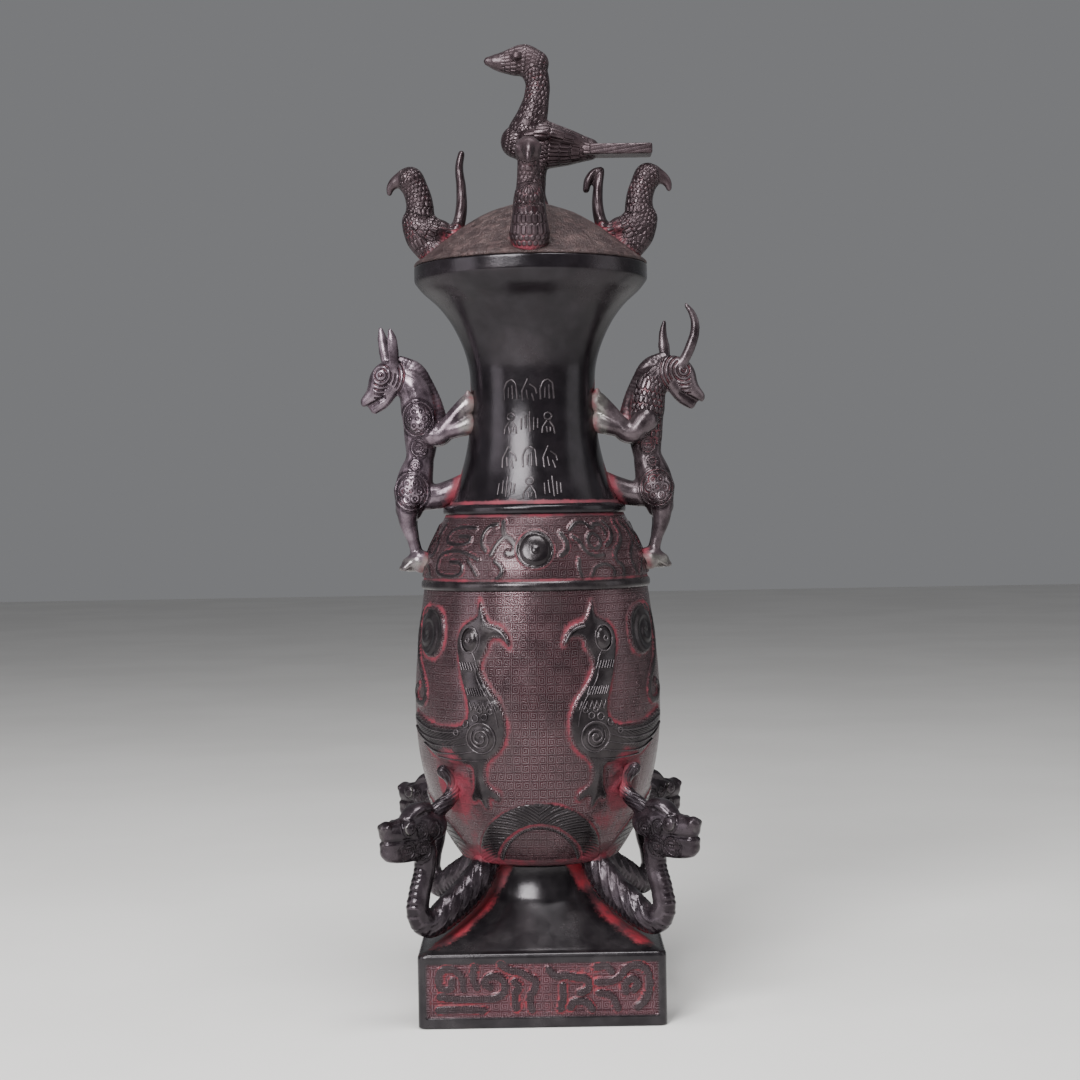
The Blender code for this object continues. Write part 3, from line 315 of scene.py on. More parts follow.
def rounded_path(points, closed=False, rounds=2):
    """Corner-cut a path or an outline, so that it flows."""
    points = [np.array(p, float) for p in points]
    for _ in range(rounds):
        made = [] if closed else [points[0]]
        count = len(points)
        for i in range(count if closed else count - 1):
            a = points[i]
            b = points[(i + 1) % count]
            made += [0.75 * a + 0.25 * b, 0.25 * a + 0.75 * b]
        if not closed:
            made.append(points[-1])
        points = made
    return np.array(points)


def unrolled(path):
    """A path drawn in degrees, with its degrees as millimetres round the body."""
    return [(d * DEGREE, h) for d, h in path]


def shoulder_run(degrees):
    """Degrees as millimetres round the shoulder."""
    return degrees * np.pi / 180.0 * SHOULDER_MEAN_RADIUS


def whole_turn(columns):
    """The angles of a turned surface's columns."""
    return np.arange(columns) * 2.0 * np.pi / columns


def to_path(u, z, path):
    """Distance to a path, the length along it and the side, for every point."""
    best = np.full(u.shape, 1e9)
    along = np.zeros(u.shape)
    across = np.zeros(u.shape)
    start = 0.0
    for a, b in zip(path, path[1:]):
        step = b - a
        length = float(np.hypot(*step)) + 1e-9
        t = np.clip(((u - a[0]) * step[0] + (z - a[1]) * step[1]) / length**2, 0.0, 1.0)
        du = u - (a[0] + t * step[0])
        dz = z - (a[1] + t * step[1])
        far = np.hypot(du, dz)
        near = far < best
        best = np.where(near, far, best)
        along = np.where(near, start + t * length, along)
        across = np.where(near, (step[0] * dz - step[1] * du) / length, across)
        start += length
    return best, along, across


def inside_depth(u, z, outline):
    """How deep each point lies inside an outline; outside it is negative."""
    depth = np.full(u.shape, 1e9)
    odd = np.zeros(u.shape, bool)
    for a, b in zip(outline, np.roll(outline, -1, axis=0)):
        step = b - a
        t = np.clip(((u - a[0]) * step[0] + (z - a[1]) * step[1]) / (step @ step + 1e-12), 0.0, 1.0)
        depth = np.minimum(depth, np.hypot(u - a[0] - t * step[0], z - a[1] - t * step[1]))
        crosses = (a[1] > z) != (b[1] > z)
        odd ^= crosses & (u < (b[0] - a[0]) * (z - a[1]) / (b[1] - a[1] + 1e-12) + a[0])
    return np.where(odd, depth, -depth)


def spiral_wave(du, dz, pitch):
    """A wave that winds round a centre, from -1 in the groove to 1 on the ridge."""
    return np.cos(2.0 * np.pi * (np.hypot(du, dz) / pitch - np.arctan2(dz, du) / (2.0 * np.pi)))


# Meshes from grids

def placed(name, data):
    """An object with this data in the scene."""
    made = bpy.data.objects.new(name, data)
    bpy.context.scene.collection.objects.link(made)
    return made


def final_mesh(thing):
    """The mesh that an object's modifiers or curve give; the object goes."""
    bpy.context.view_layer.update()
    mesh = bpy.data.meshes.new_from_object(thing.evaluated_get(bpy.context.evaluated_depsgraph_get()))
    bpy.data.objects.remove(thing)
    return mesh


def set_masks(mesh, masks):
    """Write each mask as a vertex attribute."""
    for key, values in masks.items():
        mesh.attributes.new(key, "FLOAT", "POINT").data.foreach_set("value", np.asarray(values, float).ravel())


def plain_mesh(name, points, quads, masks):
    """A mesh object from points in millimetres and quads, smooth shaded, with its masks as attributes."""
    mesh = bpy.data.meshes.new(name)
    mesh.vertices.add(len(points))
    mesh.vertices.foreach_set("co", (np.asarray(points, float) * 0.001).ravel())
    mesh.loops.add(quads.size)
    mesh.loops.foreach_set("vertex_index", quads.ravel())
    mesh.polygons.add(len(quads))
    mesh.polygons.foreach_set("loop_start", np.arange(0, quads.size, 4))
    mesh.update(calc_edges=True)
    mesh.polygons.foreach_set("use_smooth", np.ones(len(quads), bool))
    set_masks(mesh, masks)
    return placed(name, mesh)


def wrapped(name, grid, masks):
    """A closed mesh from a grid of points that wraps both ways."""
    rows, columns, _ = grid.shape
    index = np.arange(rows * columns).reshape(rows, columns)
    right = np.roll(index, -1, axis=1)
    quads = np.stack([index, right, np.roll(right, -1, axis=0), np.roll(index, -1, axis=0)], axis=-1)
    return plain_mesh(name, grid.reshape(-1, 3), quads.reshape(-1, 4), masks)


def turned_points(angles, radii, heights):
    """Points on a turned surface, one row for each height."""
    radii = np.broadcast_to(radii, (len(heights), len(angles)))
    return np.stack([radii * np.sin(angles), -radii * np.cos(angles),
                     np.broadcast_to(np.asarray(heights)[:, None], radii.shape)], axis=-1)


# The vessel's ground surface

def bowl_radius(z):
    """The bowl's outer radius at a height."""
    up = np.clip((LOWER_RING - z) / (LOWER_RING - BELLY_LEVEL), 0.0, 1.0)
    upper = RING_RADIUS + (BELLY_RADIUS - RING_RADIUS) * np.sin(np.pi / 2 * up)
    slope = math.sqrt(1.0 - (WAIST_RADIUS / BELLY_RADIUS) ** 2)
    drop = (BELLY_LEVEL - z) / (BELLY_LEVEL - WAIST) * slope
    lower = BELLY_RADIUS * np.sqrt(np.maximum(0.05, 1.0 - drop**2))
    return np.where(z >= BELLY_LEVEL, upper, lower)


def shoulder_radius(z):
    """The shoulder's outer radius at a height."""
    share = np.clip((UPPER_RING - z) / (0.88 * (UPPER_RING - LOWER_RING)), 0.0, 1.0)
    return NECK_FOOT_RADIUS + (RING_RADIUS - NECK_FOOT_RADIUS) * np.sin(np.pi / 2 * share)


def neck_radius(z):
    """The outer radius of the neck and the mouth at a height."""
    foot = NECK_FOOT_RADIUS - 2.2
    ring_top = UPPER_RING + RING_HEIGHT
    share = np.clip((z - ring_top) / (NARROW_LEVEL - ring_top), 0.0, 1.0)
    lower = NECK_RADIUS + (foot - NECK_RADIUS) * (1.0 - share) ** 2.2
    opened = through(MOUTH_FLARE, (z - NARROW_LEVEL) / (LIP - NARROW_LEVEL))
    return np.where(z < NARROW_LEVEL, lower, NECK_RADIUS + (RIM_RADIUS - NECK_RADIUS) * opened)


def ring_bead(z, low):
    """The extra radius of a rounded ring that starts at a height."""
    return RING_STAND * dome((z - low) / RING_ROLL) * dome((low + RING_HEIGHT - z) / RING_ROLL)


def shell(name, outer, hidden, masks):
    """A closed turned piece: carved rows with their masks, then the plain rows that close it inside."""
    grid = np.concatenate([outer, *hidden])
    blank = np.zeros((len(grid) - len(outer), grid.shape[1]))
    masks = {key: np.concatenate([values, blank + (key == "crown")]) for key, values in masks.items()}
    return wrapped(name, grid, masks)


# Relief of the body

def on_vessel(degrees, level, lift):
    """A point on the relief of the bowl, in millimetres."""
    fold = abs((degrees + 90.0) % 180.0 - 90.0)
    height = float(body_relief(np.array([[fold]]), np.array([[level]]))[0][0, 0])
    r = float(bowl_radius(np.array(level))) + height + lift
    angle = math.radians(degrees)
    return (r * math.sin(angle), -r * math.cos(angle), level)


def limb_gap(points, knots):
    """How far points lie outside a limb."""
    best = np.full(len(points), 1e9)
    for a, b in zip(knots, knots[1:]):
        a = np.array(a, float)
        b = np.array(b, float)
        step = b[:3] - a[:3]
        t = np.clip((points - a[:3]) @ step / (step @ step), 0.0, 1.0)
        far = np.linalg.norm(points - a[:3] - t[:, None] * step, axis=1)
        best = np.minimum(best, far - a[3] - t * (b[3] - a[3]))
    return best


def near_dragon(x, y, z):
    """Pigment where a corner dragon meets the bowl or the foot, for points folded into one corner."""
    turn = math.radians(DRAGON_TURN)
    x = np.abs(x)
    y = np.abs(y)
    points = np.stack([x * math.cos(turn) + y * math.sin(turn), y * math.cos(turn) - x * math.sin(turn),
                       z - PLINTH_TOP], axis=-1).reshape(-1, 3)
    gap = np.minimum(limb_gap(points, DRAGON_BODY), limb_gap(points, DRAGON_CREST)).reshape(x.shape)
    return bell(np.maximum(0.0, gap - 2.2), np.where(z < WAIST, 5.5, 8.5))


def body_relief(t, z):
    """Height, pigment, polish, line phase and line strength over one quarter of the body.

    t is in degrees from the front or back.
    """
    u = t * DEGREE
    bird = rounded_path(unrolled(BIRD_OUTLINE), closed=True)
    plume = rounded_path(unrolled(PLUME_OUTLINE), closed=True)
    bird_depth = inside_depth(u, z, bird)
    plume_depth = inside_depth(u, z, plume)
    depth = np.maximum(bird_depth, plume_depth)
    height = BIRD_STAND * dome(depth / 1.5) + 0.5 * ease(bird_depth / 7.0)
    height -= 0.45 * bell(depth + 0.9, 0.8)
    cut = np.zeros(u.shape)
    inner = ease((depth - 0.7) / 0.8)

    wing_u = u - WING_AT[0] * DEGREE
    wing_z = z - WING_AT[1] - 0.8
    from_wing = np.hypot(wing_u, wing_z)
    on_wing = ease((WING_RADIUS - from_wing) / 0.8)
    cut += on_wing * (0.9 * spiral_wave(wing_u, wing_z, WING_PITCH) + 0.4)

    _, tail_along, tail_across = to_path(u, z, rounded_path(unrolled(TAIL_LINE)))
    on_tail = ease((z - 155.0) / 2.0) * ease((187.0 - z) / 2.0) * (1.0 - on_wing) * (t > 26.0) * (bird_depth > 0.0)
    line = (np.abs(tail_across) + 0.55 * tail_along) / 1.8
    strength = 0.35 * on_tail * inner * ease((tail_along - 10.0) / 4.0)
    banded = (np.abs(z - 217.5) < 3.2) | (np.abs(z - 202.2) < 3.2) | (np.abs(z - 193.2) < 2.6)
    height += 0.22 * banded * inner * (bird_depth > 0.0)
    on_plume = (plume_depth > 0.0) * inner
    curl_u = u - PLUME_CURL[0] * DEGREE
    curl_z = z - PLUME_CURL[1]
    cut += 0.8 * on_plume * spiral_wave(curl_u, curl_z, PLUME_PITCH)

    eye_u = u - EYE_AT[0] * DEGREE
    eye_z = (z - EYE_AT[1]) * 0.80
    from_eye = np.hypot(eye_u, eye_z)
    on_eye = ease((EYE_RADIUS + 3.2 - from_eye) / 0.8)
    eyeball = 3.6 * dome((EYE_RADIUS - from_eye) / 4.4) - 1.2 * bell(from_eye - EYE_RADIUS - 0.6, 0.7)
    cut = cut * (1.0 - on_eye) + on_eye * eyeball
    height += GROOVE * cut * inner

    strength *= 1.0 - on_eye
    red = 0.84 * fade(-depth - 0.4, 2.5) * ease(-depth / 0.6 + 0.4)
    red = np.maximum(red, 0.20 * inner * ease(-cut))
    shine = ease(depth - 0.4)
    for path, half in ((STRAND_PATH, 2.2), (HEEL_SCROLL_PATH, 1.7)):
        far, _, _ = to_path(u, z, rounded_path(unrolled(path)))
        lift = 1.5 * dome((half - far) / 1.2) - 0.4 * bell(far, 0.6)
        height = np.maximum(height, lift)
        red = np.maximum(red, 0.66 * fade(far - half, 1.8) * (far > half - 0.3))
        shine = np.maximum(shine, ease((half - far) / 0.8))

    side = np.minimum(t, 90.0 - t)
    arch = rounded_path(unrolled(ARCH_LINE))
    mirror = arch[::-1] * np.array([-1.0, 1.0])
    rope_path = np.concatenate([mirror[:-1], arch]) * np.array([ARCH_SQUEEZE, 1.0])
    far, along, across = to_path(side * DEGREE * ARCH_SQUEEZE, z, rope_path)
    rope = ARCH_HALF_WIDTH - far
    twist = np.cos(2 * np.pi * (along - 1.1 * across) / ROPE_PITCH)
    swell = dome(rope / 3.0) * (1.0 + 0.30 * twist)
    rim_line = bell(far - ARCH_HALF_WIDTH - 1.2, 0.7)
    low_body = z < ARCH_TOP
    height = np.where(low_body & (rope > 0.0), np.maximum(height, swell + 0.5), height)
    height = np.where(low_body, np.maximum(height, 0.7 * rim_line), height)
    red = np.where(low_body, np.maximum(red, 0.75 * bell(rope, 1.1)), red)
    red = np.where(low_body & (rope > 0.8), red * 0.3, red)
    shine = np.where(low_body & (rope > 0.4), 1.0, shine)
    red = np.maximum(red, 0.42 * ease((150.0 - z) / 30.0) * ease(-(rope + 1.0) / 3.0) * ease((side - 14.0) / 14.0))
    line = np.where(low_body, (along - 1.1 * across) / (ROPE_PITCH / 2.0), line)
    strength = np.where(low_body, rope > 1.6, strength)

    angle = np.radians(t)
    reach = bowl_radius(z) + height
    red = np.maximum(red, 0.95 * near_dragon(reach * np.sin(angle), reach * np.cos(angle), z))
    red = np.where(z < 97.5, np.maximum(red, 0.7), red)
    return height, np.clip(red, 0.0, 1.0), np.clip(shine, 0.0, 1.0), line, strength


def bird_threads():
    """The thin raised lines on all the relief birds, sorted by their thickness."""
    one = []
    for half, path in THREADS:
        one.append((1.15 * half, rounded_path(path, rounds=2)))
    for half, degrees, level, wide, tall in THREAD_ROUNDS:
        turn = np.linspace(0.0, 2.0 * np.pi, 15)
        ring = np.stack([degrees + wide / DEGREE * np.cos(turn), level + tall * np.sin(turn)], axis=-1)
        one.append((1.25 * half, ring))
    turn = np.linspace(0.0, 4.2 * np.pi, 34)
    r = 1.2 + 5.6 * turn / turn[-1]
    wing = np.stack([WING_AT[0] + r / DEGREE * np.cos(turn), WING_AT[1] + 0.8 + r * np.sin(turn)], axis=-1)
    one.append((0.65, wing))
    for level, first, last, count, lean in THREAD_BANDS:
        for k in range(count):
            degrees = first + (last - first) * k / (count - 1)
            if lean < 0 and k % 2:
                ends = ((degrees - 0.7, level + 2.2), (degrees + 0.7, level - 2.2))
            else:
                ends = ((degrees - 0.7, level - 2.4), (degrees + 0.7, level + 2.4))
            one.append((0.50, np.array(ends)))
    made = {}
    for half, path in one:
        quarter = [on_vessel(d, h, THREAD_LIFT) for d, h in path]
        for a, b in ((1, 1), (-1, 1), (1, -1), (-1, -1)):
            made.setdefault(half, []).append([(a * x, b * y, z) for x, y, z in quarter])
    return made


def four_fold(values, columns):
    """Spread a quarter's columns, front to side, over the whole turn."""
    quarter = columns // 4
    j = np.arange(columns) % (2 * quarter)
    return values[:, np.where(j <= quarter, j, 2 * quarter - j)]


def make_body():
    """The bowl with its relief, and a plain wall and floor inside."""
    columns = 520
    quarter = columns // 4
    t = np.arange(quarter + 1) * 90.0 / quarter
    z = np.concatenate([[WAIST - 1.2, WAIST - 0.4], np.linspace(WAIST, LOWER_RING + 0.4, 172)])
    tt, zz = np.meshgrid(t, z)
    height, red, shine, line, strength = body_relief(tt, zz)
    height[:2] = 0.0
    radii = bowl_radius(zz) + height
    radii[0] -= 1.6
    radii[1] -= 0.5
    angles = whole_turn(columns)
    outer = turned_points(angles, four_fold(radii, columns), z)
    inside_z = np.array([250.0, 215.0, 175.0, 140.0, 118.0, 104.0, 98.0])
    inside_r = bowl_radius(inside_z) - WALL
    inside_r[-1] = 30.0
    inner = turned_points(angles, inside_r[:, None], inside_z)
    lip = turned_points(angles, np.array([[RING_RADIUS - WALL]]), [LOWER_RING + 0.4])
    base = turned_points(angles, np.array([[CLOSED], [CLOSED], [COLLAR_RADIUS - 2.0]]), [98.0, 92.4, WAIST - 1.6])
    masks = {"pigment": red, "crown": shine, "line": line, "cut": strength}
    masks = {key: four_fold(values, columns) for key, values in masks.items()}
    return shell("body_piece", outer, (lip, inner, base), masks)


def make_shoulder():
    """The band of scrolls with its boss, and the lower ring."""
    columns = 560
    half_turn = columns // 2
    t = np.arange(half_turn) * 180.0 / half_turn - 90.0
    z = np.concatenate([np.linspace(LOWER_RING, LOWER_RING + RING_HEIGHT + 0.6, 10),
                        np.linspace(LOWER_RING + RING_HEIGHT + 1.3, UPPER_RING + 0.3, 46)])
    tt, zz = np.meshgrid(t, z)
    u = shoulder_run(tt)
    height = np.zeros(tt.shape)
    red = np.zeros(tt.shape) + 0.12
    shine = np.zeros(tt.shape)
    for half, path in SHOULDER_PATHS:
        far, _, _ = to_path(u, zz, rounded_path([(shoulder_run(d), h) for d, h in path], rounds=1))
        lift = 1.25 * dome((half - far) / 0.9) - 0.4 * bell(far, 0.5) * (half > 1.7)
        height = np.maximum(height, lift)
        red = np.maximum(red, 0.50 * fade(far - half, 1.2) * (far > half - 0.2))
        shine = np.maximum(shine, ease((half - far) / 0.7))
    red *= 1.0 - 0.85 * shine
    from_boss = np.hypot(u, (zz - BOSS_LEVEL))
    on_boss = ease((BOSS_RADIUS - from_boss) / 0.5)
    rings = 1.0 + 1.9 * dome((9.4 - from_boss) / 5.0) - 0.8 * bell(from_boss - 9.6, 0.6)
    rings += 0.9 * dome((2.2 - from_boss) / 1.4)
    height = height * (1.0 - on_boss) + on_boss * rings
    red = red * (1.0 - on_boss)
    red = np.maximum(red, 0.8 * bell(from_boss - BOSS_RADIUS - 0.5, 0.6))
    shine = np.maximum(shine, on_boss)
    ring = ring_bead(zz, LOWER_RING)
    on_ring = zz < LOWER_RING + RING_HEIGHT
    radii = np.where(on_ring, RING_RADIUS + ring, shoulder_radius(zz) + height * ease((UPPER_RING - zz) / 1.5))
    shine = np.where(on_ring, 1.0, shine)
    edge = fade(np.abs(zz - LOWER_RING - RING_HEIGHT - 0.8), 0.9) + fade(np.abs(zz - UPPER_RING + 0.5), 1.2)
    red = np.clip(np.where(zz < LOWER_RING + RING_HEIGHT - 0.5, 0.1, np.maximum(red, edge)), 0.0, 1.0)
    angles = whole_turn(columns)
    spread_out = np.roll(np.arange(columns) % half_turn, -half_turn // 2)
    outer = turned_points(angles, radii[:, spread_out], z)
    inside_z = np.array([UPPER_RING + 0.3, 300.0, 288.0, 275.0, LOWER_RING])
    inner = turned_points(angles, (shoulder_radius(inside_z) - WALL)[:, None], inside_z)
    masks = {"pigment": red[:, spread_out], "crown": shine[:, spread_out]}
    return shell("shoulder_piece", outer, (inner,), masks)


def make_neck():
    """The smooth neck with its upper ring, the flared mouth and the lip."""
    columns = 200
    z = np.concatenate([np.linspace(UPPER_RING, UPPER_RING + RING_HEIGHT + 0.5, 12),
                        np.linspace(UPPER_RING + RING_HEIGHT + 1.2, LIP - 0.6, 90),
                        np.linspace(LIP, RIM, 14)])
    ring = ring_bead(z, UPPER_RING)
    low = z <= UPPER_RING + RING_HEIGHT
    radii = np.where(low, NECK_FOOT_RADIUS + ring - 0.4 * (z > UPPER_RING + RING_HEIGHT - 1.0), neck_radius(z))
    radii = np.where(z >= LIP, RIM_RADIUS + 0.25 * dome((z - LIP) / 1.5) * dome((RIM - z) / 1.2) - 0.25, radii)
    angles = whole_turn(columns)
    drift = 0.16 * np.sin(3.0 * angles + 1.0)[None, :] * np.sin(z / 37.0)[:, None]
    outer = turned_points(angles, radii[:, None] + drift, z)
    inside_z = np.array([RIM, LIP, 448.0, 436.0, 424.0, 410.0, 390.0, 360.0, 336.0, 320.0, UPPER_RING])
    inside_r = neck_radius(inside_z) - WALL
    inside_r[:2] = RIM_RADIUS - WALL
    inner = turned_points(angles, inside_r[:, None], inside_z)
    red = fade(np.abs(z - UPPER_RING - RING_HEIGHT - 1.2), 1.6) * (z > UPPER_RING + RING_HEIGHT)
    grip = np.minimum(angles, 2 * np.pi - angles)[None, :] - np.pi / 2
    at_paw = bell(grip, 0.34) * bell(z[:, None] - PAW_LEVEL, 16.0)
    at_rump = bell(grip, 0.30) * bell(z[:, None] - RUMP_LEVEL, 14.0)
    pigment = np.clip(np.maximum(red[:, None], np.maximum(at_paw, at_rump)), 0.0, 1.0)
    return shell("neck_piece", outer, (inner,), {"pigment": pigment, "crown": np.ones(pigment.shape)})


# Plinth and foot

def perimeter_angles(per_side):
    """Angles that divide a square's sides evenly."""
    along = (np.arange(per_side) + 0.5) / per_side * 2.0 - 1.0
    one = np.arctan(along)
    return np.concatenate([one + k * np.pi / 2 for k in range(4)])


def square_reach(angles, half, corner):
    """Distance from the axis to a rounded square's outline."""
    fold = np.abs((angles + np.pi / 4) % (np.pi / 2) - np.pi / 4)
    flat = half / np.cos(fold)
    inner = half - corner
    c = np.cos(fold)
    s = np.sin(fold)
    middle = inner * (c + s)
    arc = middle + np.sqrt(np.maximum(0.0, middle**2 - 2.0 * inner**2 + corner**2))
    return np.where(half * np.tan(fold) > inner, arc, flat)


def panel_relief(x, z):
    """Height and pigment of one plinth side, x from its middle."""
    border = np.minimum(np.minimum(PLINTH_HALF - 4.6 - np.abs(x), z - 6.6), 39.2 - z)
    sunk = ease(border)
    height = -PANEL_SINK * sunk
    red = 0.20 * sunk
    shine = 1.0 - sunk
    for path in PLINTH_PATHS:
        far, _, _ = to_path(x, z, rounded_path(path, rounds=1))
        lift = dome((RIBBON_HALF - far) / 1.1)
        height = np.maximum(height, -PANEL_SINK + 1.45 * lift - 0.35 * bell(far, 0.5) * (far < 1.4))
        red = np.maximum(red, 0.60 * fade(far - RIBBON_HALF, 1.0) * (far > 2.4))
        red = np.where(far < 2.3, red * 0.15, red)
        shine = np.maximum(shine, 0.8 * ease((RIBBON_HALF - far) / 0.7))
    line = bell(border - 2.4, 0.6)
    height = np.where(border > 0.0, np.maximum(height, -PANEL_SINK + 0.8 * line), height)
    return height * (border > -1.0), red, shine


def make_foot():
    """Collar, foot and hollow plinth in one shell."""
    per_side = 144
    angles = perimeter_angles(per_side)
    fold = (angles + np.pi / 4) % (np.pi / 2) - np.pi / 4
    rows = [(0.0, PLINTH_HALF - 0.9, 0.0)]
    for z in np.linspace(0.9, 41.2, 52):
        rows.append((z, PLINTH_HALF, 0.0))
    for k in range(7):
        turn = k / 6.0 * np.pi / 2
        rows.append((42.0 + 3.0 * math.sin(turn), PLINTH_HALF - 1.8 * (1.0 - math.cos(turn)), 0.0))
    rows.append((PLINTH_TOP - 0.3, PLINTH_HALF - 2.6, 0.0))
    for share in np.linspace(0.0, 1.0, 26)[1:]:
        reach = FOOT_TOP_RADIUS + (PLINTH_HALF - 2.6 - FOOT_TOP_RADIUS) * (1.0 - share) ** 1.35
        rows.append((PLINTH_TOP + share * (COLLAR_FOOT - PLINTH_TOP), reach, share**0.8))
    for share in np.linspace(0.0, 1.0, 10)[1:]:
        reach = COLLAR_RADIUS + (FOOT_TOP_RADIUS - COLLAR_RADIUS) * (1.0 - share) ** 2.4
        rows.append((COLLAR_FOOT + share * (WAIST - 2.0 - COLLAR_FOOT), reach, 1.0))
    inner = [(91.4, COLLAR_RADIUS - 0.2, 1.0), (91.4, CLOSED, 1.0), (90.6, CLOSED, 1.0)]
    inner += [(90.6, COLLAR_RADIUS - WALL, 1.0), (COLLAR_FOOT - WALL, FOOT_TOP_RADIUS - WALL, 1.0)]
    inner += [(57.0, 50.0, 0.6), (46.0, 62.0, 0.25)]
    inner += [(40.5, PLINTH_HALF - WALL, 0.0), (0.0, PLINTH_HALF - WALL, 0.0)]
    z = np.array([r[0] for r in rows + inner])[:, None] + np.zeros(len(angles))[None, :]
    reach = np.zeros(z.shape)
    for i, (_, half, roundness) in enumerate(rows + inner):
        reach[i] = (1.0 - roundness) * square_reach(angles, half, 5.0) + roundness * half
    height = np.zeros(z.shape)
    red = np.zeros(z.shape)
    shine = np.ones(z.shape)
    sides = slice(0, 53)
    x = PLINTH_HALF * np.tan(fold)[None, :] + np.zeros((53, 1))
    height[sides], red[sides], shine[sides] = panel_relief(x, z[sides])
    wear = 0.22 * np.sin(angles * 9.0 + 1.3) + 0.16 * np.sin(angles * 23.0)
    z[0] += 0.2 + 0.2 * np.abs(wear)
    reach = reach + height / np.cos(fold)[None, :]
    corner = np.abs(np.abs(fold) - np.pi / 4)[None, :]
    on_foot = (z > PLINTH_TOP - 1.0) * (np.arange(len(z)) < len(rows))[:, None]
    beside = near_dragon(reach * np.sin(angles)[None, :], reach * np.cos(angles)[None, :], z)
    strip = 0.30 * bell(corner * reach, 5.0)
    red = np.maximum(red, on_foot * np.maximum(beside, strip))
    red = np.maximum(red, 0.7 * on_foot * ease((z - 90.0) / 2.0))
    grid = np.stack([reach * np.sin(angles)[None, :], -reach * np.cos(angles)[None, :], z], axis=-1)
    run = np.zeros(z.shape)
    run[sides] = x
    masks = {"pigment": np.clip(red, 0.0, 1.0), "crown": shine, "run": run * 0.001}
    return wrapped("foot_piece", grid, masks)


# The lid

def make_lid():
    """The worn dome, its rolled edge and the tongue inside the mouth."""
    columns = 256
    shares = np.linspace(0.004, 0.985, 72)
    radii = shares * RIM_RADIUS
    heights = LID_SEAT + LID_HEIGHT * through(DOME, shares)
    edge_r = RIM_RADIUS - 0.2 + 0.2 * np.array([-1.2, 0.4, 1.0, 0.6, -1.0])
    edge_z = LID_SEAT + np.array([2.0, 1.5, 1.0, 0.5, 0.1])
    inside = ((67.6, 0.1), (67.6, -6.6), (65.0, -6.9), (65.0, 2.0), (54.0, 14.0), (44.0, 21.5), (33.0, 28.0),
              (18.0, 34.0), (0.3, 37.0))
    radii = np.concatenate([radii, edge_r, [p[0] for p in inside]])[::-1]
    heights = np.concatenate([heights, edge_z, [LID_SEAT + p[1] for p in inside]])[::-1]
    angles = whole_turn(columns)
    grid = turned_points(angles, radii[:, None], heights)
    outer = np.arange(len(radii)) >= len(inside) + len(edge_r)
    r = radii[:, None]
    a = angles[None, :]
    worn = 0.16 * np.sin(5 * a + r * 0.13) * np.sin(r * 0.21) + 0.10 * np.sin(17 * a) * np.sin(r * 0.9)
    petals = np.cos(24 * a + r * 0.05) * bell(r - 61.0, 5.0)
    rings = bell(r - 52.5, 0.8) + bell(r - 68.5, 0.8)
    grid[:, :, 2] += np.where(outer[:, None], worn - 0.35 * rings - 0.18 * petals, 0.0)
    red = np.zeros(grid.shape[:2])
    for k in range(4):
        at = np.array([math.sin(k * np.pi / 2), -math.cos(k * np.pi / 2)]) * (LID_BIRD_SEAT - 3.0)
        far = np.hypot(grid[:, :, 0] - at[0], grid[:, :, 1] - at[1])
        red = np.maximum(red, 0.5 * bell(np.maximum(0.0, far - 9.0), 5.0))
    red = np.maximum(red, 0.5 * bell(np.maximum(0.0, r - 9.0), 4.0))
    red *= outer[:, None]
    return wrapped("lid_piece", grid, {"pigment": np.clip(red, 0, 1), "crown": np.ones(red.shape)})


# Animals

def limb(points, flatten=1.0):
    """A rounded cast limb through (x, y, z, radius) points, as a bmesh in millimetres."""
    curve = bpy.data.curves.new("limb", "CURVE")
    curve.dimensions = "3D"
    curve.bevel_depth = 1.0
    curve.bevel_resolution = 5
    curve.resolution_u = 8
    curve.use_fill_caps = True
    spline = curve.splines.new("BEZIER")
    spline.bezier_points.add(len(points) - 1)
    for knot, (x, y, z, radius) in zip(spline.bezier_points, points):
        knot.co = (x, y / flatten, z)
        knot.radius = radius
        knot.handle_left_type = "AUTO"
        knot.handle_right_type = "AUTO"
    mesh = final_mesh(placed("limb", curve))
    shape = bmesh.new()
    shape.from_mesh(mesh)
    bmesh.ops.remove_doubles(shape, verts=shape.verts, dist=0.001)
    bmesh.ops.scale(shape, vec=(1.0, flatten, 1.0), verts=shape.verts)
    for end in (0, -1):
        add_ball(shape, points[end], 0.97, flatten)
    bpy.data.curves.remove(curve)
    bpy.data.meshes.remove(mesh)
    return shape


def add_ball(shape, ball, share=1.0, flatten=1.0):
    """A ball added to a shape."""
    x, y, z, radius = ball
    place = Matrix.Translation((x, y, z)) @ Matrix.Diagonal((1.0, flatten, 1.0, 1.0))
    bmesh.ops.create_icosphere(shape, subdivisions=3, radius=radius * share, matrix=place)


def ball(centre):
    """A ball as a shape of its own."""
    shape = bmesh.new()
    add_ball(shape, centre)
    return shape


def other_side(points):
    """The same points on the other side of the animal."""
    return tuple((x, -y, z, radius) for x, y, z, radius in points)


def pair(points):
    """A limb and its twin on the other side."""
    return [limb(points), limb(other_side(points))]


def ball_pair(centre):
    """A ball and its twin on the other side."""
    return [ball(centre), ball(*other_side([centre]))]


def blade(start, end, half_width, half_thickness, rise):
    """A flat tail with a rounded edge."""
    shape = bmesh.new()
    size = Matrix.Diagonal((end - start, 2.0 * half_width, 2.0 * half_thickness, 1.0))
    bmesh.ops.create_cube(shape, size=1.0, matrix=Matrix.Translation(((start + end) / 2.0, 0.0, rise)) @ size)
    return shape


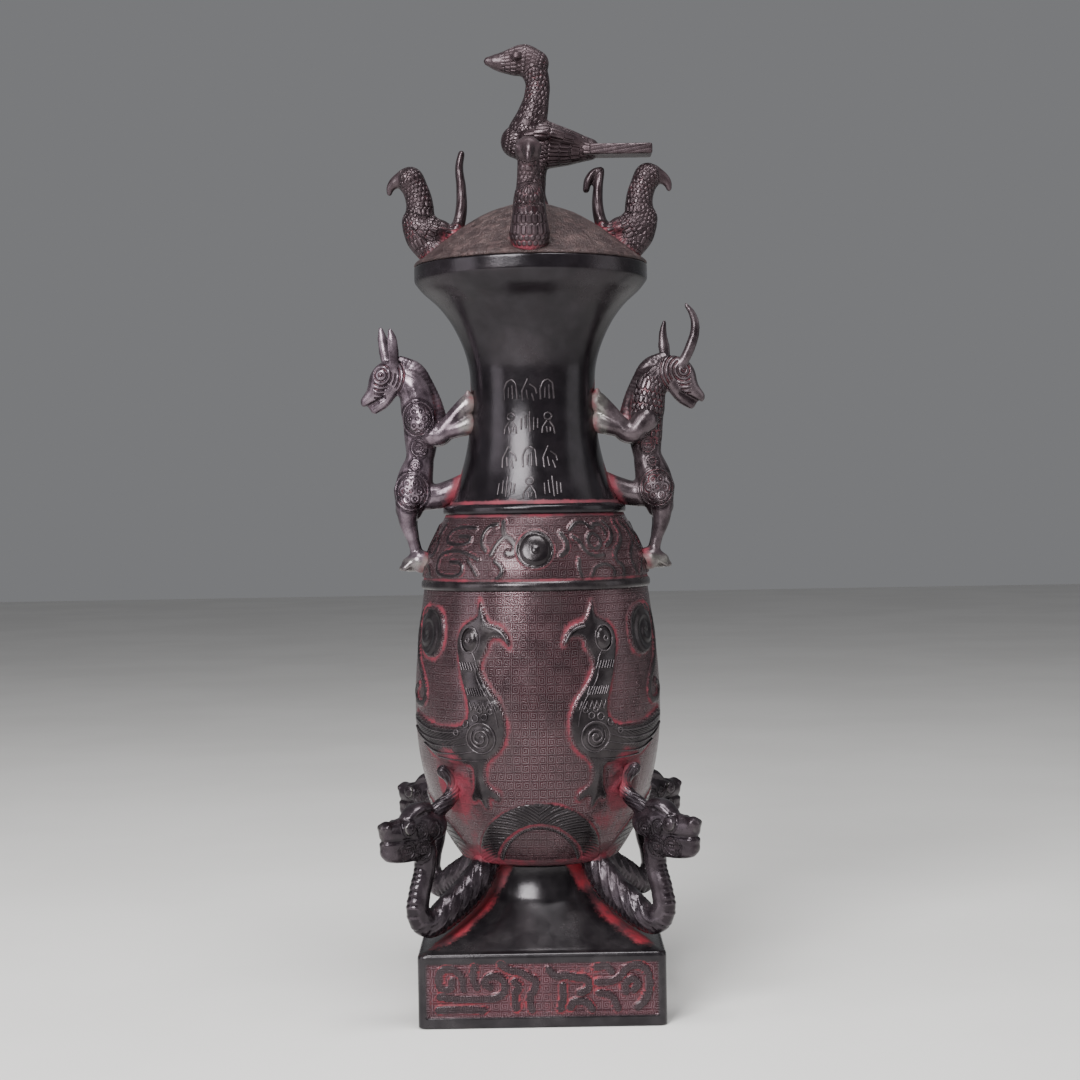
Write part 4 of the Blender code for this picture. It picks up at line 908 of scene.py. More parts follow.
def joined_skin(name, shapes):
    """One closed skin over all the limbs, as points and normals in millimetres."""
    whole = bmesh.new()
    for shape in shapes:
        part = bpy.data.meshes.new("part")
        shape.to_mesh(part)
        whole.from_mesh(part)
        bpy.data.meshes.remove(part)
        shape.free()
    bmesh.ops.recalc_face_normals(whole, faces=whole.faces)
    mesh = bpy.data.meshes.new(name)
    whole.to_mesh(mesh)
    whole.free()
    raw = placed(name, mesh)
    skin = raw.modifiers.new("Skin", "REMESH")
    skin.mode = "VOXEL"
    skin.voxel_size = SKIN_VOXEL
    soften = raw.modifiers.new("Soften", "SMOOTH")
    soften.iterations = 4
    soften.factor = 0.5
    smooth = final_mesh(raw)
    bpy.data.meshes.remove(mesh)
    points = np.empty(len(smooth.vertices) * 3)
    smooth.vertices.foreach_get("co", points)
    normals = np.empty(len(smooth.vertices) * 3)
    smooth.vertex_normals.foreach_get("vector", normals)
    return smooth, points.reshape(-1, 3), normals.reshape(-1, 3)


def limb_coordinates(points, limbs):
    """For every point the nearest limb, the length along it and the arc round it from its upper edge."""
    best = np.full(len(points), 1e9)
    owner = np.zeros(len(points), int)
    along = np.zeros(len(points))
    around = np.zeros(len(points))
    for k, knots in enumerate(limbs):
        start = 0.0
        path = rounded_path([np.array(p, float) for p in knots], rounds=1)
        last = len(path) - 2
        for i, (a, b) in enumerate(zip(path, path[1:])):
            step = b[:3] - a[:3]
            length = float(np.linalg.norm(step)) + 1e-9
            run = (points - a[:3]) @ step / length**2
            t = np.clip(run, 0.0, 1.0)
            run = np.clip(run, -9.0 if i == 0 else 0.0, 9.0 if i == last else 1.0)
            off = points - (a[:3] + t[:, None] * step)
            radius = a[3] + t * (b[3] - a[3])
            far = np.linalg.norm(off, axis=1) / radius
            side = np.array([0.0, 1.0, 0.0])
            up = np.cross(step / length, side)
            near = far < best
            best = np.where(near, far, best)
            owner = np.where(near, k, owner)
            along = np.where(near, start + run * length, along)
            around = np.where(near, np.abs(np.arctan2(off @ side, off @ up)) * radius, around)
            start += length
    return owner, along, around


def cast_animal(name, shapes, carve, place, finish, slot, red_at):
    """A detailed animal: skin, carved relief, pigment mask and place."""
    mesh, points, normals = joined_skin(name, shapes)
    lift, red, patterns = carve(points, normals)
    points = points + normals * lift[:, None]
    flat = np.array(place.to_3x3()).T
    world = points @ flat + np.array(place.translation) * 1000.0
    red = np.maximum(red, red_at(world))
    mesh.vertices.foreach_set("co", (world * 0.001).ravel())
    if place.to_3x3().determinant() < 0:
        mesh.flip_normals()
    mesh.polygons.foreach_set("use_smooth", np.ones(len(mesh.polygons), bool))
    patterns["pigment"] = np.clip(red, 0.0, 1.0)
    patterns["crown"] = np.clip(0.82 + lift / GROOVE, 0.0, 1.0)
    set_masks(mesh, patterns)
    mesh.update()
    dress(placed(name + "_piece", mesh), finish, slot, name)


def near_vessel(world):
    """Pigment where an animal meets the neck, the shoulder, the bowl or the foot."""
    r = np.hypot(world[:, 0], world[:, 1])
    z = world[:, 2]
    ground = np.where(z > UPPER_RING, neck_radius(z), np.where(z > LOWER_RING, shoulder_radius(z), bowl_radius(z)))
    ground = np.where(z < WAIST, COLLAR_RADIUS + (PLINTH_HALF * 1.1 - COLLAR_RADIUS)
                      * np.clip((WAIST - z) / (WAIST - PLINTH_TOP), 0.0, 1.0) ** 1.5, ground)
    return 0.95 * fade(r - ground - 0.8, 4.6)


def near_lid(world):
    """Pigment where a bird meets the dome."""
    r = np.hypot(world[:, 0], world[:, 1])
    top = LID_SEAT + LID_HEIGHT * through(DOME, np.clip(r / RIM_RADIUS, 0.0, 0.99))
    return 0.70 * fade(world[:, 2] - top, 2.4)


def bird_carver(limbs, tails, plain, size=3.2, beak=None):
    """Rows of small rounded feathers on the body and neck, barbs on the tail, a smooth beak."""
    def carve(points, _):
        owner, along, around = limb_coordinates(points, limbs)
        on_tail = np.isin(owner, tails)
        feathered = 1.0 * ~(on_tail | np.isin(owner, plain))
        if beak is not None:
            feathered *= ease((points[:, 0] - beak) / 4.0)
        patterns = {
            "scale": feathered,
            "row": along / (0.9 * size),
            "across": around / size,
            "line": around / 1.9 + 0.10 * along,
            "cut": 0.3 * on_tail,
        }
        return np.zeros(len(points)), np.zeros(len(points)), patterns
    return carve


def curls(du, dz, radius):
    """Distance to the nearest of the small curls that fill a round field."""
    best = np.full(du.shape, 1e9)
    count = 7 if radius > 6.0 else 3
    for k in range(count):
        turn = 2.0 * np.pi * k / (count - 1)
        reach = 0.0 if k == count - 1 else 0.58 * radius
        best = np.minimum(best, np.hypot(du - reach * np.cos(turn), dz - reach * np.sin(turn)))
    return best


def medallions(points, normals, lift, patterns, rounds):
    """Ringed medallions filled with curls on the sides of an animal; each is (outward, up, radius)."""
    sideways = ease((np.abs(normals[:, 1]) - 0.25) / 0.3)
    for x, z, radius in rounds:
        du = points[:, 0] - x
        dz = (points[:, 2] - z) * 0.88
        far = np.hypot(du, dz)
        on = ease((radius - far) / 0.8) * sideways
        rim = far > radius - MEDALLION_RIM
        from_crest = far - radius + MEDALLION_RIM / 4.0
        phase = np.where(rim, from_crest / (MEDALLION_RIM / 2.0), curls(du, dz, radius - MEDALLION_RIM) / CURL_PITCH)
        field = np.where(rim, 0.30 * np.cos(2.0 * np.pi * from_crest / MEDALLION_RIM), 0.10)
        lift = lift * (1.0 - on) + on * field
        lift = lift - 0.35 * bell(far - radius - 0.5, 0.7) * sideways
        patterns["line"] = np.where(on > 0.3, phase, patterns["line"])
        patterns["cut"] = np.where(on > 0.3, np.where(rim, 0.8, 0.9), patterns["cut"])
        patterns["scale"] = patterns["scale"] * (1.0 - on)
    return lift


def beast_carver(ear, horn, coat, rounds):
    """Ringed medallions, arcs on the cheek, a nicked mane; ears, horns, paws and legs stay smooth."""
    limbs = (BEAST_TRUNK, BEAST_HEAD, BEAST_MANE, BEAST_RUMP, BEAST_FORELEG, other_side(BEAST_FORELEG),
             BEAST_HINDLEG, other_side(BEAST_HINDLEG), BEAST_FOOT, other_side(BEAST_FOOT), ear, horn, BEAST_JAW)

    def carve(points, normals):
        owner, along, around = limb_coordinates(points, limbs)
        sideways = ease((np.abs(normals[:, 1]) - 0.2) / 0.2)
        mane = owner == 2
        cheek = np.hypot(points[:, 0] - BEAST_EYE[0], points[:, 2] - BEAST_EYE[2])
        on_cheek = np.isin(owner, (0, 1)) * ease((17.0 - cheek) / 2.0) * sideways * (points[:, 0] < 61.0)
        lift = on_cheek * 0.42 * np.cos(2 * np.pi * cheek / CHEEK_PITCH)
        lift = lift + np.where(mane, 0.10 * np.cos(2 * np.pi * along / MANE_PITCH), 0.0)
        mouth = bell(points[:, 2] - 72.0 + 0.55 * (points[:, 0] - 60.0), 1.1) * (points[:, 0] > 54.0)
        lift = lift - 1.5 * mouth * np.isin(owner, (1, 12))
        patterns = {
            "line": np.where(mane, along / MANE_PITCH, cheek / CHEEK_PITCH),
            "cut": np.where(mane, 0.8 * ease((7.5 - around) / 3.0), 0.9 * on_cheek),
            "scale": coat * (owner == 0) * sideways * (1.0 - on_cheek) * ease((points[:, 2] - 40.0) / 4.0),
            "row": along / 4.2,
            "across": around / 3.4,
            "chalk": ease((17.0 - points[:, 0]) / 13.0) + ease((-20.0 - points[:, 2]) / 9.0),
        }
        lift = medallions(points, normals, lift, patterns, rounds)
        red = 0.12 * ease(-lift / 0.2) + 0.42 * mane * ease((along - 14.0) / 20.0)
        return lift, red, patterns
    return carve


def dragon_carver(points, normals):
    """Slanting flame ridges on the body, plates under the neck, curls on the cheeks and a mouth line."""
    limbs = (DRAGON_BODY, DRAGON_HEAD, DRAGON_CREST, DRAGON_JAW, DRAGON_LIPS)
    owner, along, around = limb_coordinates(points, limbs)
    on_body = owner == 0
    belly = on_body * ease((around - 17.5) / 2.0)
    lift = 0.26 * belly * np.cos(2 * np.pi * along / PLATE_PITCH)
    slant = (0.62 * along - 0.95 * around) / FLAME_PITCH
    ridge = bell(slant - np.round(slant), 0.12)
    low_body = on_body * ease((78.0 - along) / 12.0)
    lift = lift + (1.0 - belly) * (0.04 + 0.56 * low_body) * on_body * ridge
    eye_far = np.hypot(points[:, 0] - DRAGON_EYE[0], points[:, 2] - DRAGON_EYE[2])
    on_head = np.isin(owner, (1, 3, 4))
    sideways = ease((np.abs(normals[:, 1]) - 0.3) / 0.2)
    on_eye = on_head * ease((5.8 - eye_far) / 0.6) * sideways
    lips = bell(points[:, 2] - DRAGON_MOUTH, 0.9) * ease((points[:, 0] - 109.0) / 3.0)
    lift = lift - lips * on_head
    patterns = {
        "line": around / 2.6 + 0.20 * along,
        "cut": np.where(owner == 2, 0.5, 0.0),
        "scale": np.zeros(len(points)),
        # Pale colour on the eye ring and the nose tip: painted highlights, not chalk.
        "chalk": 1.1 * on_eye * bell(eye_far - 3.6, 0.8) + 0.75 * ease((points[:, 0] - 127.0) / 3.0),
    }
    lift = medallions(points, normals, lift, patterns, DRAGON_CHEEKS)
    lift = lift * (1.0 - on_eye) + on_eye * 0.55 * np.cos(2 * np.pi * eye_far / 3.3)
    patterns["cut"] = patterns["cut"] * (1.0 - on_eye)
    return lift, 0.10 * ease(-lift / 0.2), patterns


# Node trees

class Wire:
    """An output in a node tree, so that sums on it read as sums."""

    def __init__(self, tree, socket):
        self.tree = tree
        self.socket = socket

    def math(self, operation, other=0.0, swap=False):
        node = self.tree.nodes.new("ShaderNodeMath")
        node.operation = operation
        for value, socket in zip((other, self) if swap else (self, other), node.inputs):
            join(self.tree, value, socket)
        return Wire(self.tree, node.outputs[0])

    def __add__(self, other):
        return self.math("ADD", other)

    def __sub__(self, other):
        return self.math("SUBTRACT", other)

    def __rsub__(self, other):
        return self.math("SUBTRACT", other, swap=True)

    def __mul__(self, other):
        return self.math("MULTIPLY", other)

    def clamped(self):
        """Keep the sum just made between 0 and 1."""
        self.socket.node.use_clamp = True
        return self


def join(tree, value, socket):
    """Link an output, or set the socket's own value."""
    if isinstance(value, Wire):
        tree.links.new(value.socket, socket)
    elif isinstance(value, bpy.types.NodeSocket):
        tree.links.new(value, socket)
    else:
        socket.default_value = value


def lay(tree, kind, settings=None, **inputs):
    """A node with its settings and its inputs, named with _ for spaces."""
    node = tree.nodes.new(kind)
    for key, value in (settings or {}).items():
        setattr(node, key, value)
    for key, value in inputs.items():
        join(tree, value, node.inputs[key.replace("_", " ")])
    return node


# Trees that repeat a shape along a path, and that raise cast strokes

def geometry_tree(name, *inputs):
    """A tree from a path to a shape in one metal, and its inputs; each input is (label, kind)."""
    tree = bpy.data.node_groups.new(name, "GeometryNodeTree")
    for label, kind in (("Path", "Geometry"), *inputs, ("Metal", "Material")):
        tree.interface.new_socket(name=label, in_out="INPUT", socket_type="NodeSocket" + kind)
    tree.interface.new_socket(name="Shape", in_out="OUTPUT", socket_type="NodeSocketGeometry")
    return tree, tree.nodes.new("NodeGroupInput").outputs


def give_shape(tree, given, shape):
    """Make copies real, set the metal and give the shape out."""
    whole = lay(tree, "GeometryNodeRealizeInstances", Geometry=shape)
    metal = lay(tree, "GeometryNodeSetMaterial", Geometry=whole.outputs[0], Material=given["Metal"])
    lay(tree, "NodeGroupOutput", Shape=metal.outputs[0])
    return tree


def stroke_tree():
    """Raised strokes with round ends that follow drawn lines."""
    tree, given = geometry_tree("cast strokes", ("Stroke radius", "Float"), ("Step", "Float"))
    line = lay(tree, "GeometryNodeMeshToCurve", Mesh=given["Path"])
    even = lay(tree, "GeometryNodeResampleCurve", {"mode": "LENGTH"}, Curve=line.outputs[0], Length=given["Step"])
    circle = lay(tree, "GeometryNodeCurvePrimitiveCircle", Resolution=6, Radius=given["Stroke radius"])
    sweep = lay(tree, "GeometryNodeCurveToMesh", Curve=even.outputs[0], Profile_Curve=circle.outputs[0],
                Fill_Caps=True)
    return give_shape(tree, given, sweep.outputs[0])


def repeat_tree():
    """One bead repeated along a path, turned to face outward and slanted."""
    tree, given = geometry_tree("beads along a path", ("Count", "Int"), ("Bead size", "Vector"), ("Slant", "Float"))
    line = lay(tree, "GeometryNodeMeshToCurve", Mesh=given["Path"])
    spots = lay(tree, "GeometryNodeCurveToPoints", {"mode": "COUNT"}, Curve=line.outputs[0], Count=given["Count"])
    outward = lay(tree, "GeometryNodeInputNamedAttribute", {"data_type": "FLOAT_VECTOR"}, Name="outward")
    face = lay(tree, "FunctionNodeAlignRotationToVector", {"axis": "Z"}, Vector=outward.outputs["Attribute"])
    lead = lay(tree, "FunctionNodeAlignRotationToVector", {"axis": "X", "pivot_axis": "Z"},
               Rotation=face.outputs["Rotation"], Vector=spots.outputs["Tangent"])
    angle = lay(tree, "ShaderNodeCombineXYZ", Z=given["Slant"])
    turn = lay(tree, "FunctionNodeEulerToRotation", Euler=angle.outputs["Vector"])
    slanted = lay(tree, "FunctionNodeRotateRotation", {"rotation_space": "LOCAL"},
                  Rotation=lead.outputs["Rotation"], Rotate_By=turn.outputs["Rotation"])
    one = lay(tree, "GeometryNodeMeshIcoSphere", Radius=1.0, Subdivisions=2)
    put = lay(tree, "GeometryNodeInstanceOnPoints", Points=spots.outputs["Points"], Instance=one.outputs["Mesh"],
              Rotation=slanted.outputs["Rotation"], Scale=given["Bead size"])
    return give_shape(tree, given, put.outputs["Instances"])


def grown_from(name, tree, lines, values, outward=None):
    """Run a tree over drawn lines and keep the result as a plain mesh object."""
    mesh = bpy.data.meshes.new(name)
    points = []
    edges = []
    for line in lines:
        base = len(points)
        points += [tuple(float(c) * 0.001 for c in p) for p in line]
        edges += [(base + i, base + i + 1) for i in range(len(line) - 1)]
    mesh.from_pydata(points, edges, [])
    if outward is not None:
        data = mesh.attributes.new("outward", "FLOAT_VECTOR", "POINT").data
        data.foreach_set("vector", np.asarray(outward, float).ravel())
    guide = placed(name + "_lines", mesh)
    modifier = guide.modifiers.new("Grow", "NODES")
    modifier.node_group = tree
    for socket in tree.interface.items_tree:
        if socket.in_out == "INPUT" and socket.name in values:
            modifier[socket.identifier] = values[socket.name]
    made = final_mesh(guide)
    bpy.data.meshes.remove(mesh)
    made.polygons.foreach_set("use_smooth", np.ones(len(made.polygons), bool))
    set_masks(made, {"pigment": np.zeros(len(made.vertices)), "crown": np.ones(len(made.vertices))})
    return placed(name, made)


# Finishes

def blend(kind, first_at, result_at, factor, first, second):
    """Mix two colours or two numbers; the node keeps each kind at its own sockets."""
    tree = factor.tree
    node = tree.nodes.new("ShaderNodeMix")
    node.data_type = kind
    for value, at in ((factor, 0), (first, first_at), (second, first_at + 1)):
        join(tree, value, node.inputs[at])
    return Wire(tree, node.outputs[result_at])


def blend_colour(factor, first, second):
    return blend("RGBA", 6, 2, factor, first, second)


def blend_value(factor, first, second):
    return blend("FLOAT", 2, 0, factor, first, second)


def spread(value, low, high):
    """Stretch a number between two ends to 0 and 1."""
    node = lay(value.tree, "ShaderNodeMapRange", {"interpolation_type": "SMOOTHSTEP"}, Value=value, From_Min=low,
               From_Max=high)
    return Wire(value.tree, node.outputs["Result"])


def noise(place, scale, detail=4.0, roughness=0.55):
    """Soft noise on the piece's own coordinates."""
    node = lay(place.tree, "ShaderNodeTexNoise", Vector=place, Scale=scale, Detail=detail, Roughness=roughness)
    return Wire(place.tree, node.outputs[0])


def parts(vector):
    """A vector's x, y and z."""
    return [Wire(vector.tree, end) for end in lay(vector.tree, "ShaderNodeSeparateXYZ", Vector=vector).outputs]


def attribute(tree, name):
    """One of the piece's own masks."""
    return Wire(tree, lay(tree, "ShaderNodeAttribute", {"attribute_name": name}).outputs["Fac"])


def shader_group(name, inputs, outputs):
    """A named group with its sockets, and its inputs by name."""
    tree = bpy.data.node_groups.new(name, "ShaderNodeTree")
    kinds = dict.fromkeys(("Colour", "Dark", "Bloom", "Red", "Dull red", "Worn", "Dust", "Soil"), "Color")
    kinds.update(Place="Vector", Cell="Vector")
    for labels, way in ((inputs, "INPUT"), (outputs, "OUTPUT")):
        for label in labels.split(", "):
            kind = "NodeSocket" + kinds.get(label, "Float")
            tree.interface.new_socket(name=label, in_out=way, socket_type=kind)
    given = tree.nodes.new("NodeGroupInput").outputs
    return tree, {label: Wire(tree, given[label]) for label in inputs.split(", ")}


def patina_group():
    """Mottled dark bronze: colour, roughness and a fine casting grain."""
    tree, given = shader_group("bronze patina", "Place, Dark, Bloom, Blotch scale, Gloss, Matt",
                               "Colour, Roughness, Grain")
    blotch = spread(noise(given["Place"], given["Blotch scale"], 6.0, 0.62), 0.42, 0.68)
    fine = noise(given["Place"], 900.0, 3.0, 0.6)
    specks = spread(noise(given["Place"], 420.0, 2.0, 0.5), 0.60, 0.74)
    cloud = (blotch * 0.8 + specks * 0.25).clamped()
    rough = blend_value(blotch, given["Gloss"], given["Matt"]) + (fine - 0.5) * 0.12
    lay(tree, "NodeGroupOutput", Colour=blend_colour(cloud, given["Dark"], given["Bloom"]), Roughness=rough,
        Grain=fine + blotch * 0.5)
    return tree


def pigment_group():
    """Red pigment that stays in recesses and rubs off what stands proud."""
    tree, given = shader_group("red pigment in recesses",
                               "Place, Colour, Roughness, Metal, Recess, Haze, Red, Dull red",
                               "Colour, Roughness, Metal")
    broad = noise(given["Place"], 55.0, 5.0, 0.6)
    crumbs = noise(given["Place"], 520.0, 3.0, 0.65)
    level = given["Recess"] + given["Haze"] * broad + (crumbs - 0.5) * 0.55 + (broad - 0.5) * 0.7
    mask = spread(level, 0.30, 0.78)
    red = blend_colour(spread(broad, 0.35, 0.65), given["Dull red"], given["Red"])
    lay(tree, "NodeGroupOutput", Colour=blend_colour(mask, given["Colour"], red),
        Roughness=blend_value(mask, given["Roughness"], 0.72), Metal=blend_value(mask, given["Metal"], 0.0))
    return tree


def wear_group():
    """Grey-lilac polish on the crowns, broken by fine scratches."""
    tree, given = shader_group("rubbed crowns", "Place, Colour, Roughness, Crown, Amount, Worn", "Colour, Roughness")
    patchy = spread(noise(given["Place"], 90.0, 5.0, 0.60), 0.30, 0.80)
    mask = (spread(given["Crown"], 0.45, 1.0) * patchy * given["Amount"]).clamped()
    lay(tree, "NodeGroupOutput", Colour=blend_colour(mask, given["Colour"], given["Worn"]),
        Roughness=blend_value(mask, given["Roughness"], 0.24))
    return tree


def meander_group():
    """Square spirals, one to a cell, as a height."""
    tree, given = shader_group("square spiral ground", "Cell", "Height")
    across, up, _ = parts(given["Cell"])
    drift = (noise(given["Cell"], 1.7, 3.0, 0.6) - 0.5) * 0.30
    x = (across + drift).math("FRACT") - 0.5
    y = (up - drift).math("FRACT") - 0.5
    ax = x.math("ABSOLUTE")
    ay = y.math("ABSOLUTE")
    quarter = blend_value(ay.math("GREATER_THAN", ax), x.math("GREATER_THAN"), y.math("GREATER_THAN") + 0.5)
    wave = ((ax.math("MAXIMUM", ay) * 4.4 + quarter * 0.5) * (2.0 * math.pi)).math("COSINE")
    lay(tree, "NodeGroupOutput", Height=spread(wave, -0.35, 0.35))
    return tree


def ground_group():
    """Pigment and soil between the square spirals, worn bare in patches."""
    tree, given = shader_group("soiled ground", "Place, Colour, Pattern, Open, Soil, Dull red", "Colour")
    earth = blend_colour(1.0 - given["Pattern"], given["Soil"], given["Dull red"])
    bare = spread(noise(given["Place"], 38.0, 6.0, 0.68), 0.44, 0.62)
    earth = blend_colour(bare * 0.35, earth, given["Colour"])
    lay(tree, "NodeGroupOutput", Colour=blend_colour(given["Open"], given["Colour"], earth))
    return tree


def engraving_group():
    """Engraved lines and rows of small rounded scales, as a height and a groove mask."""
    tree, given = shader_group("engraved lines and scales", "Line, Cut, Scale, Row, Across", "Height, Groove")
    crest = spread((given["Line"] * (2.0 * math.pi)).math("COSINE"), -1.0, 0.35)
    row = given["Row"].math("FLOOR")
    up = (given["Row"] - row - 0.5) * 1.7
    side = ((given["Across"] + row * 0.5).math("FRACT") - 0.5) * 1.8
    gap = spread((side * side + up * up).math("SQRT"), 0.40, 0.95)
    low_line = given["Cut"] * (1.0 - crest)
    low_plate = given["Scale"] * gap
    lay(tree, "NodeGroupOutput", Height=(low_line + low_plate * 1.5) * -1.0, Groove=(low_line + low_plate).clamped())
    return tree


def chalk_and_highlight_group():
    """Pale, patchy colour on tips: chalk on worn beast paws and feet, and painted highlights on the dragons' eye
    rings and nose tips.
    """
    tree, given = shader_group("chalk and painted highlights on tips", "Place, Colour, Chalk", "Colour")
    mask = spread(given["Chalk"] + noise(given["Place"], 150.0, 5.0, 0.65), 1.15, 1.95)
    lay(tree, "NodeGroupOutput", Colour=blend_colour(mask, given["Colour"], (0.200, 0.196, 0.180, 1)))
    return tree


def dust_group():
    """Pale dust on what faces up."""
    tree, given = shader_group("settled dust", "Place, Colour, Dust, Amount", "Colour")
    facing = parts(Wire(tree, lay(tree, "ShaderNodeNewGeometry").outputs["Normal"]))[2]
    patch = spread(noise(given["Place"], 90.0, 5.0, 0.6), 0.40, 0.70)
    mask = (spread(facing, 0.55, 1.0) * patch * given["Amount"]).clamped()
    lay(tree, "NodeGroupOutput", Colour=blend_colour(mask, given["Colour"], given["Dust"]))
    return tree


GROUPS = {"patina": patina_group(), "pigment": pigment_group(), "wear": wear_group(), "meander": meander_group(),
          "ground": ground_group(), "engraving": engraving_group(), "chalk": chalk_and_highlight_group(), "dust": dust_group()}


def use_group(name, tree, **inputs):
    """A placed group with its own values, and its outputs by name."""
    node = lay(tree, "ShaderNodeGroup", {"node_tree": GROUPS[name]}, **inputs)
    return {end.name: Wire(tree, end) for end in node.outputs}


def round_cells(place):
    """Cells that go evenly round the turned body."""
    across, deep, up = parts(place)
    x = across.math("ARCTAN2", deep * -1.0) * (CELLS_ROUND / (2.0 * math.pi))
    y = up * (CELLS_ROUND / (2.0 * math.pi * BELLY_RADIUS * 0.001))
    return lay(place.tree, "ShaderNodeCombineXYZ", X=x, Y=y).outputs["Vector"]


def flat_cells(place):
    """Cells along a plinth side."""
    x = attribute(place.tree, "run") * (1.0 / PLINTH_CELL)
    y = parts(place)[2] * (1.0 / PLINTH_CELL)
    return lay(place.tree, "ShaderNodeCombineXYZ", X=x, Y=y).outputs["Vector"]


def bronze(name, dark, bloom, blotch, gloss, matt, haze, wear, worn, metal, dust, cells=None, ground=0.0, soil=None,
           red=(0.150, 0.014, 0.027), dull_red=(0.060, 0.013, 0.019), grain=0.00006, depth=0.00030, seep=0.25):
    """One bronze finish: patina, pigment, rubbed crowns, engraving, chalk and painted highlights on tips, dust and
    relief ground.
    """
    material = bpy.data.materials.new(name)
    material.use_nodes = True
    tree = material.node_tree
    shader = tree.nodes["Principled BSDF"]
    place = Wire(tree, lay(tree, "ShaderNodeTexCoord").outputs["Object"])
    base = use_group("patina", tree, Place=place, Dark=(*dark, 1), Bloom=(*bloom, 1), Blotch_scale=blotch,
                     Gloss=gloss, Matt=matt)
    marks = {label.capitalize(): attribute(tree, label) for label in ("line", "cut", "scale", "row", "across")}
    lines = use_group("engraving", tree, **marks)
    crown = attribute(tree, "crown")
    open_ground = (1.0 - crown).clamped()
    height = base["Grain"] * grain + lines["Height"] * depth
    colour = base["Colour"]
    if cells:
        pattern = use_group("meander", tree, Cell=cells(place))["Height"]
        rubbed_ground = pattern * open_ground
        height = height + rubbed_ground * ground
        colour = use_group("ground", tree, Place=place, Colour=colour, Pattern=pattern, Open=open_ground,
                           Soil=(*soil, 1), Dull_red=(*dull_red, 1))["Colour"]
        crown = crown.math("MAXIMUM", rubbed_ground)
    rubbed = use_group("wear", tree, Place=place, Colour=colour, Roughness=base["Roughness"],
                       Crown=(crown - lines["Groove"]).clamped(), Amount=wear, Worn=(*worn, 1))
    painted = use_group("pigment", tree, Place=place, Colour=rubbed["Colour"], Roughness=rubbed["Roughness"],
                        Metal=metal, Recess=attribute(tree, "pigment") + lines["Groove"] * seep,
                        Haze=open_ground * haze, Red=(*red, 1), Dull_red=(*dull_red, 1))
    tipped = use_group("chalk", tree, Place=place, Colour=painted["Colour"], Chalk=attribute(tree, "chalk"))
    dusty = use_group("dust", tree, Place=place, Colour=tipped["Colour"], Dust=(0.16, 0.13, 0.12, 1), Amount=dust)
    bump = lay(tree, "ShaderNodeBump", Height=height, Strength=1.0, Distance=1.0)
    for value, label in ((dusty["Colour"], "Base Color"), (painted["Roughness"], "Roughness"),
                         (painted["Metal"], "Metallic"), (bump.outputs["Normal"], "Normal")):
        join(tree, value, shader.inputs[label])
    return material


def dress(piece, finish, slot, *nodes):
    """Give a piece its finish, its body and the nodes it stands for."""
    piece.data.materials.clear()
    piece.data.materials.append(finish)
    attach(piece, "root")
    if nodes:
        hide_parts(*nodes)


# Drawn lines: the strokes on the neck and the beads under the arches

def inscription_lines():
    """Three columns of shallow strokes that spell nothing; four small shapes take turns."""
    turn = np.linspace(0.0, 2.0 * np.pi, 9)
    shapes = (
        (((-4.2, -6.2), (-4.4, 0.6), (-2.6, 5), (0.4, 6.6), (3.4, 4.2), (4.2, -5.6)), ((-1.6, -5), (-1.3, 1.6)),
         ((1.3, -5.6), (1.0, 3.0))),
        (((-5, 3.0), (-5.3, -4)), ((-2.5, 4.6), (-2.3, -3.4)), ((0.1, 7), (0.3, -5.4)), ((2.7, 3.6), (2.5, -4.2)),
         ((5.1, 2.8), (5.0, -3.2))),
        (((-0.8, 6.8), (-4.4, -0.6), (-4.1, -6.6)), ((0.3, 3.6), (3.8, 1.2), (4.6, -2.4)), ((-1.6, 0), (-0.9, -5.6)),
         ((1.5, -2.2), (2.9, -6.8))),
        (tuple((2.5 * math.cos(a), 4.2 + 2.3 * math.sin(a)) for a in turn), ((-0.8, 1.2), (-3.6, -2.6), (-4.0, -6.4)),
         ((0.9, 1.2), (3.5, -2.8), (3.9, -6.6)), ((-1.2, -2.2), (-0.6, -6)), ((1.4, -2.6), (1.2, -5.4))),
    )
    lines = []
    for column, degrees in enumerate(STROKE_COLUMNS):
        for row, z in enumerate(STROKE_ROWS):
            for stroke in shapes[(row * 3 + column * 2) % 4]:
                line = []
                for a, b in zip(stroke, stroke[1:]):
                    for share in np.linspace(0.0, 1.0, 4):
                        level = z + a[1] + share * (b[1] - a[1])
                        r = float(neck_radius(np.array(level))) - 0.1
                        angle = math.radians(degrees) + (a[0] + share * (b[0] - a[0])) / r
                        line.append((r * math.sin(angle), -r * math.cos(angle), level))
                lines.append(line)
    return lines


def lunette_beads():
    """Small beads under each rope arch."""
    lines = []
    outward = []
    for turn in range(4):
        line = []
        for k in range(40):
            share = k / 39.0 * 2.0 - 1.0
            degrees = share * 26.0
            level = 118.6 - 21.0 * abs(share) ** 2.1
            r = float(bowl_radius(np.array(level))) + 0.1
            angle = math.radians(degrees + 90.0 * turn)
            line.append((r * math.sin(angle), -r * math.cos(angle), level))
            outward.append((math.sin(angle), -math.cos(angle), -0.35))
        lines.append(line)
    return lines, outward


# The pieces with their finishes

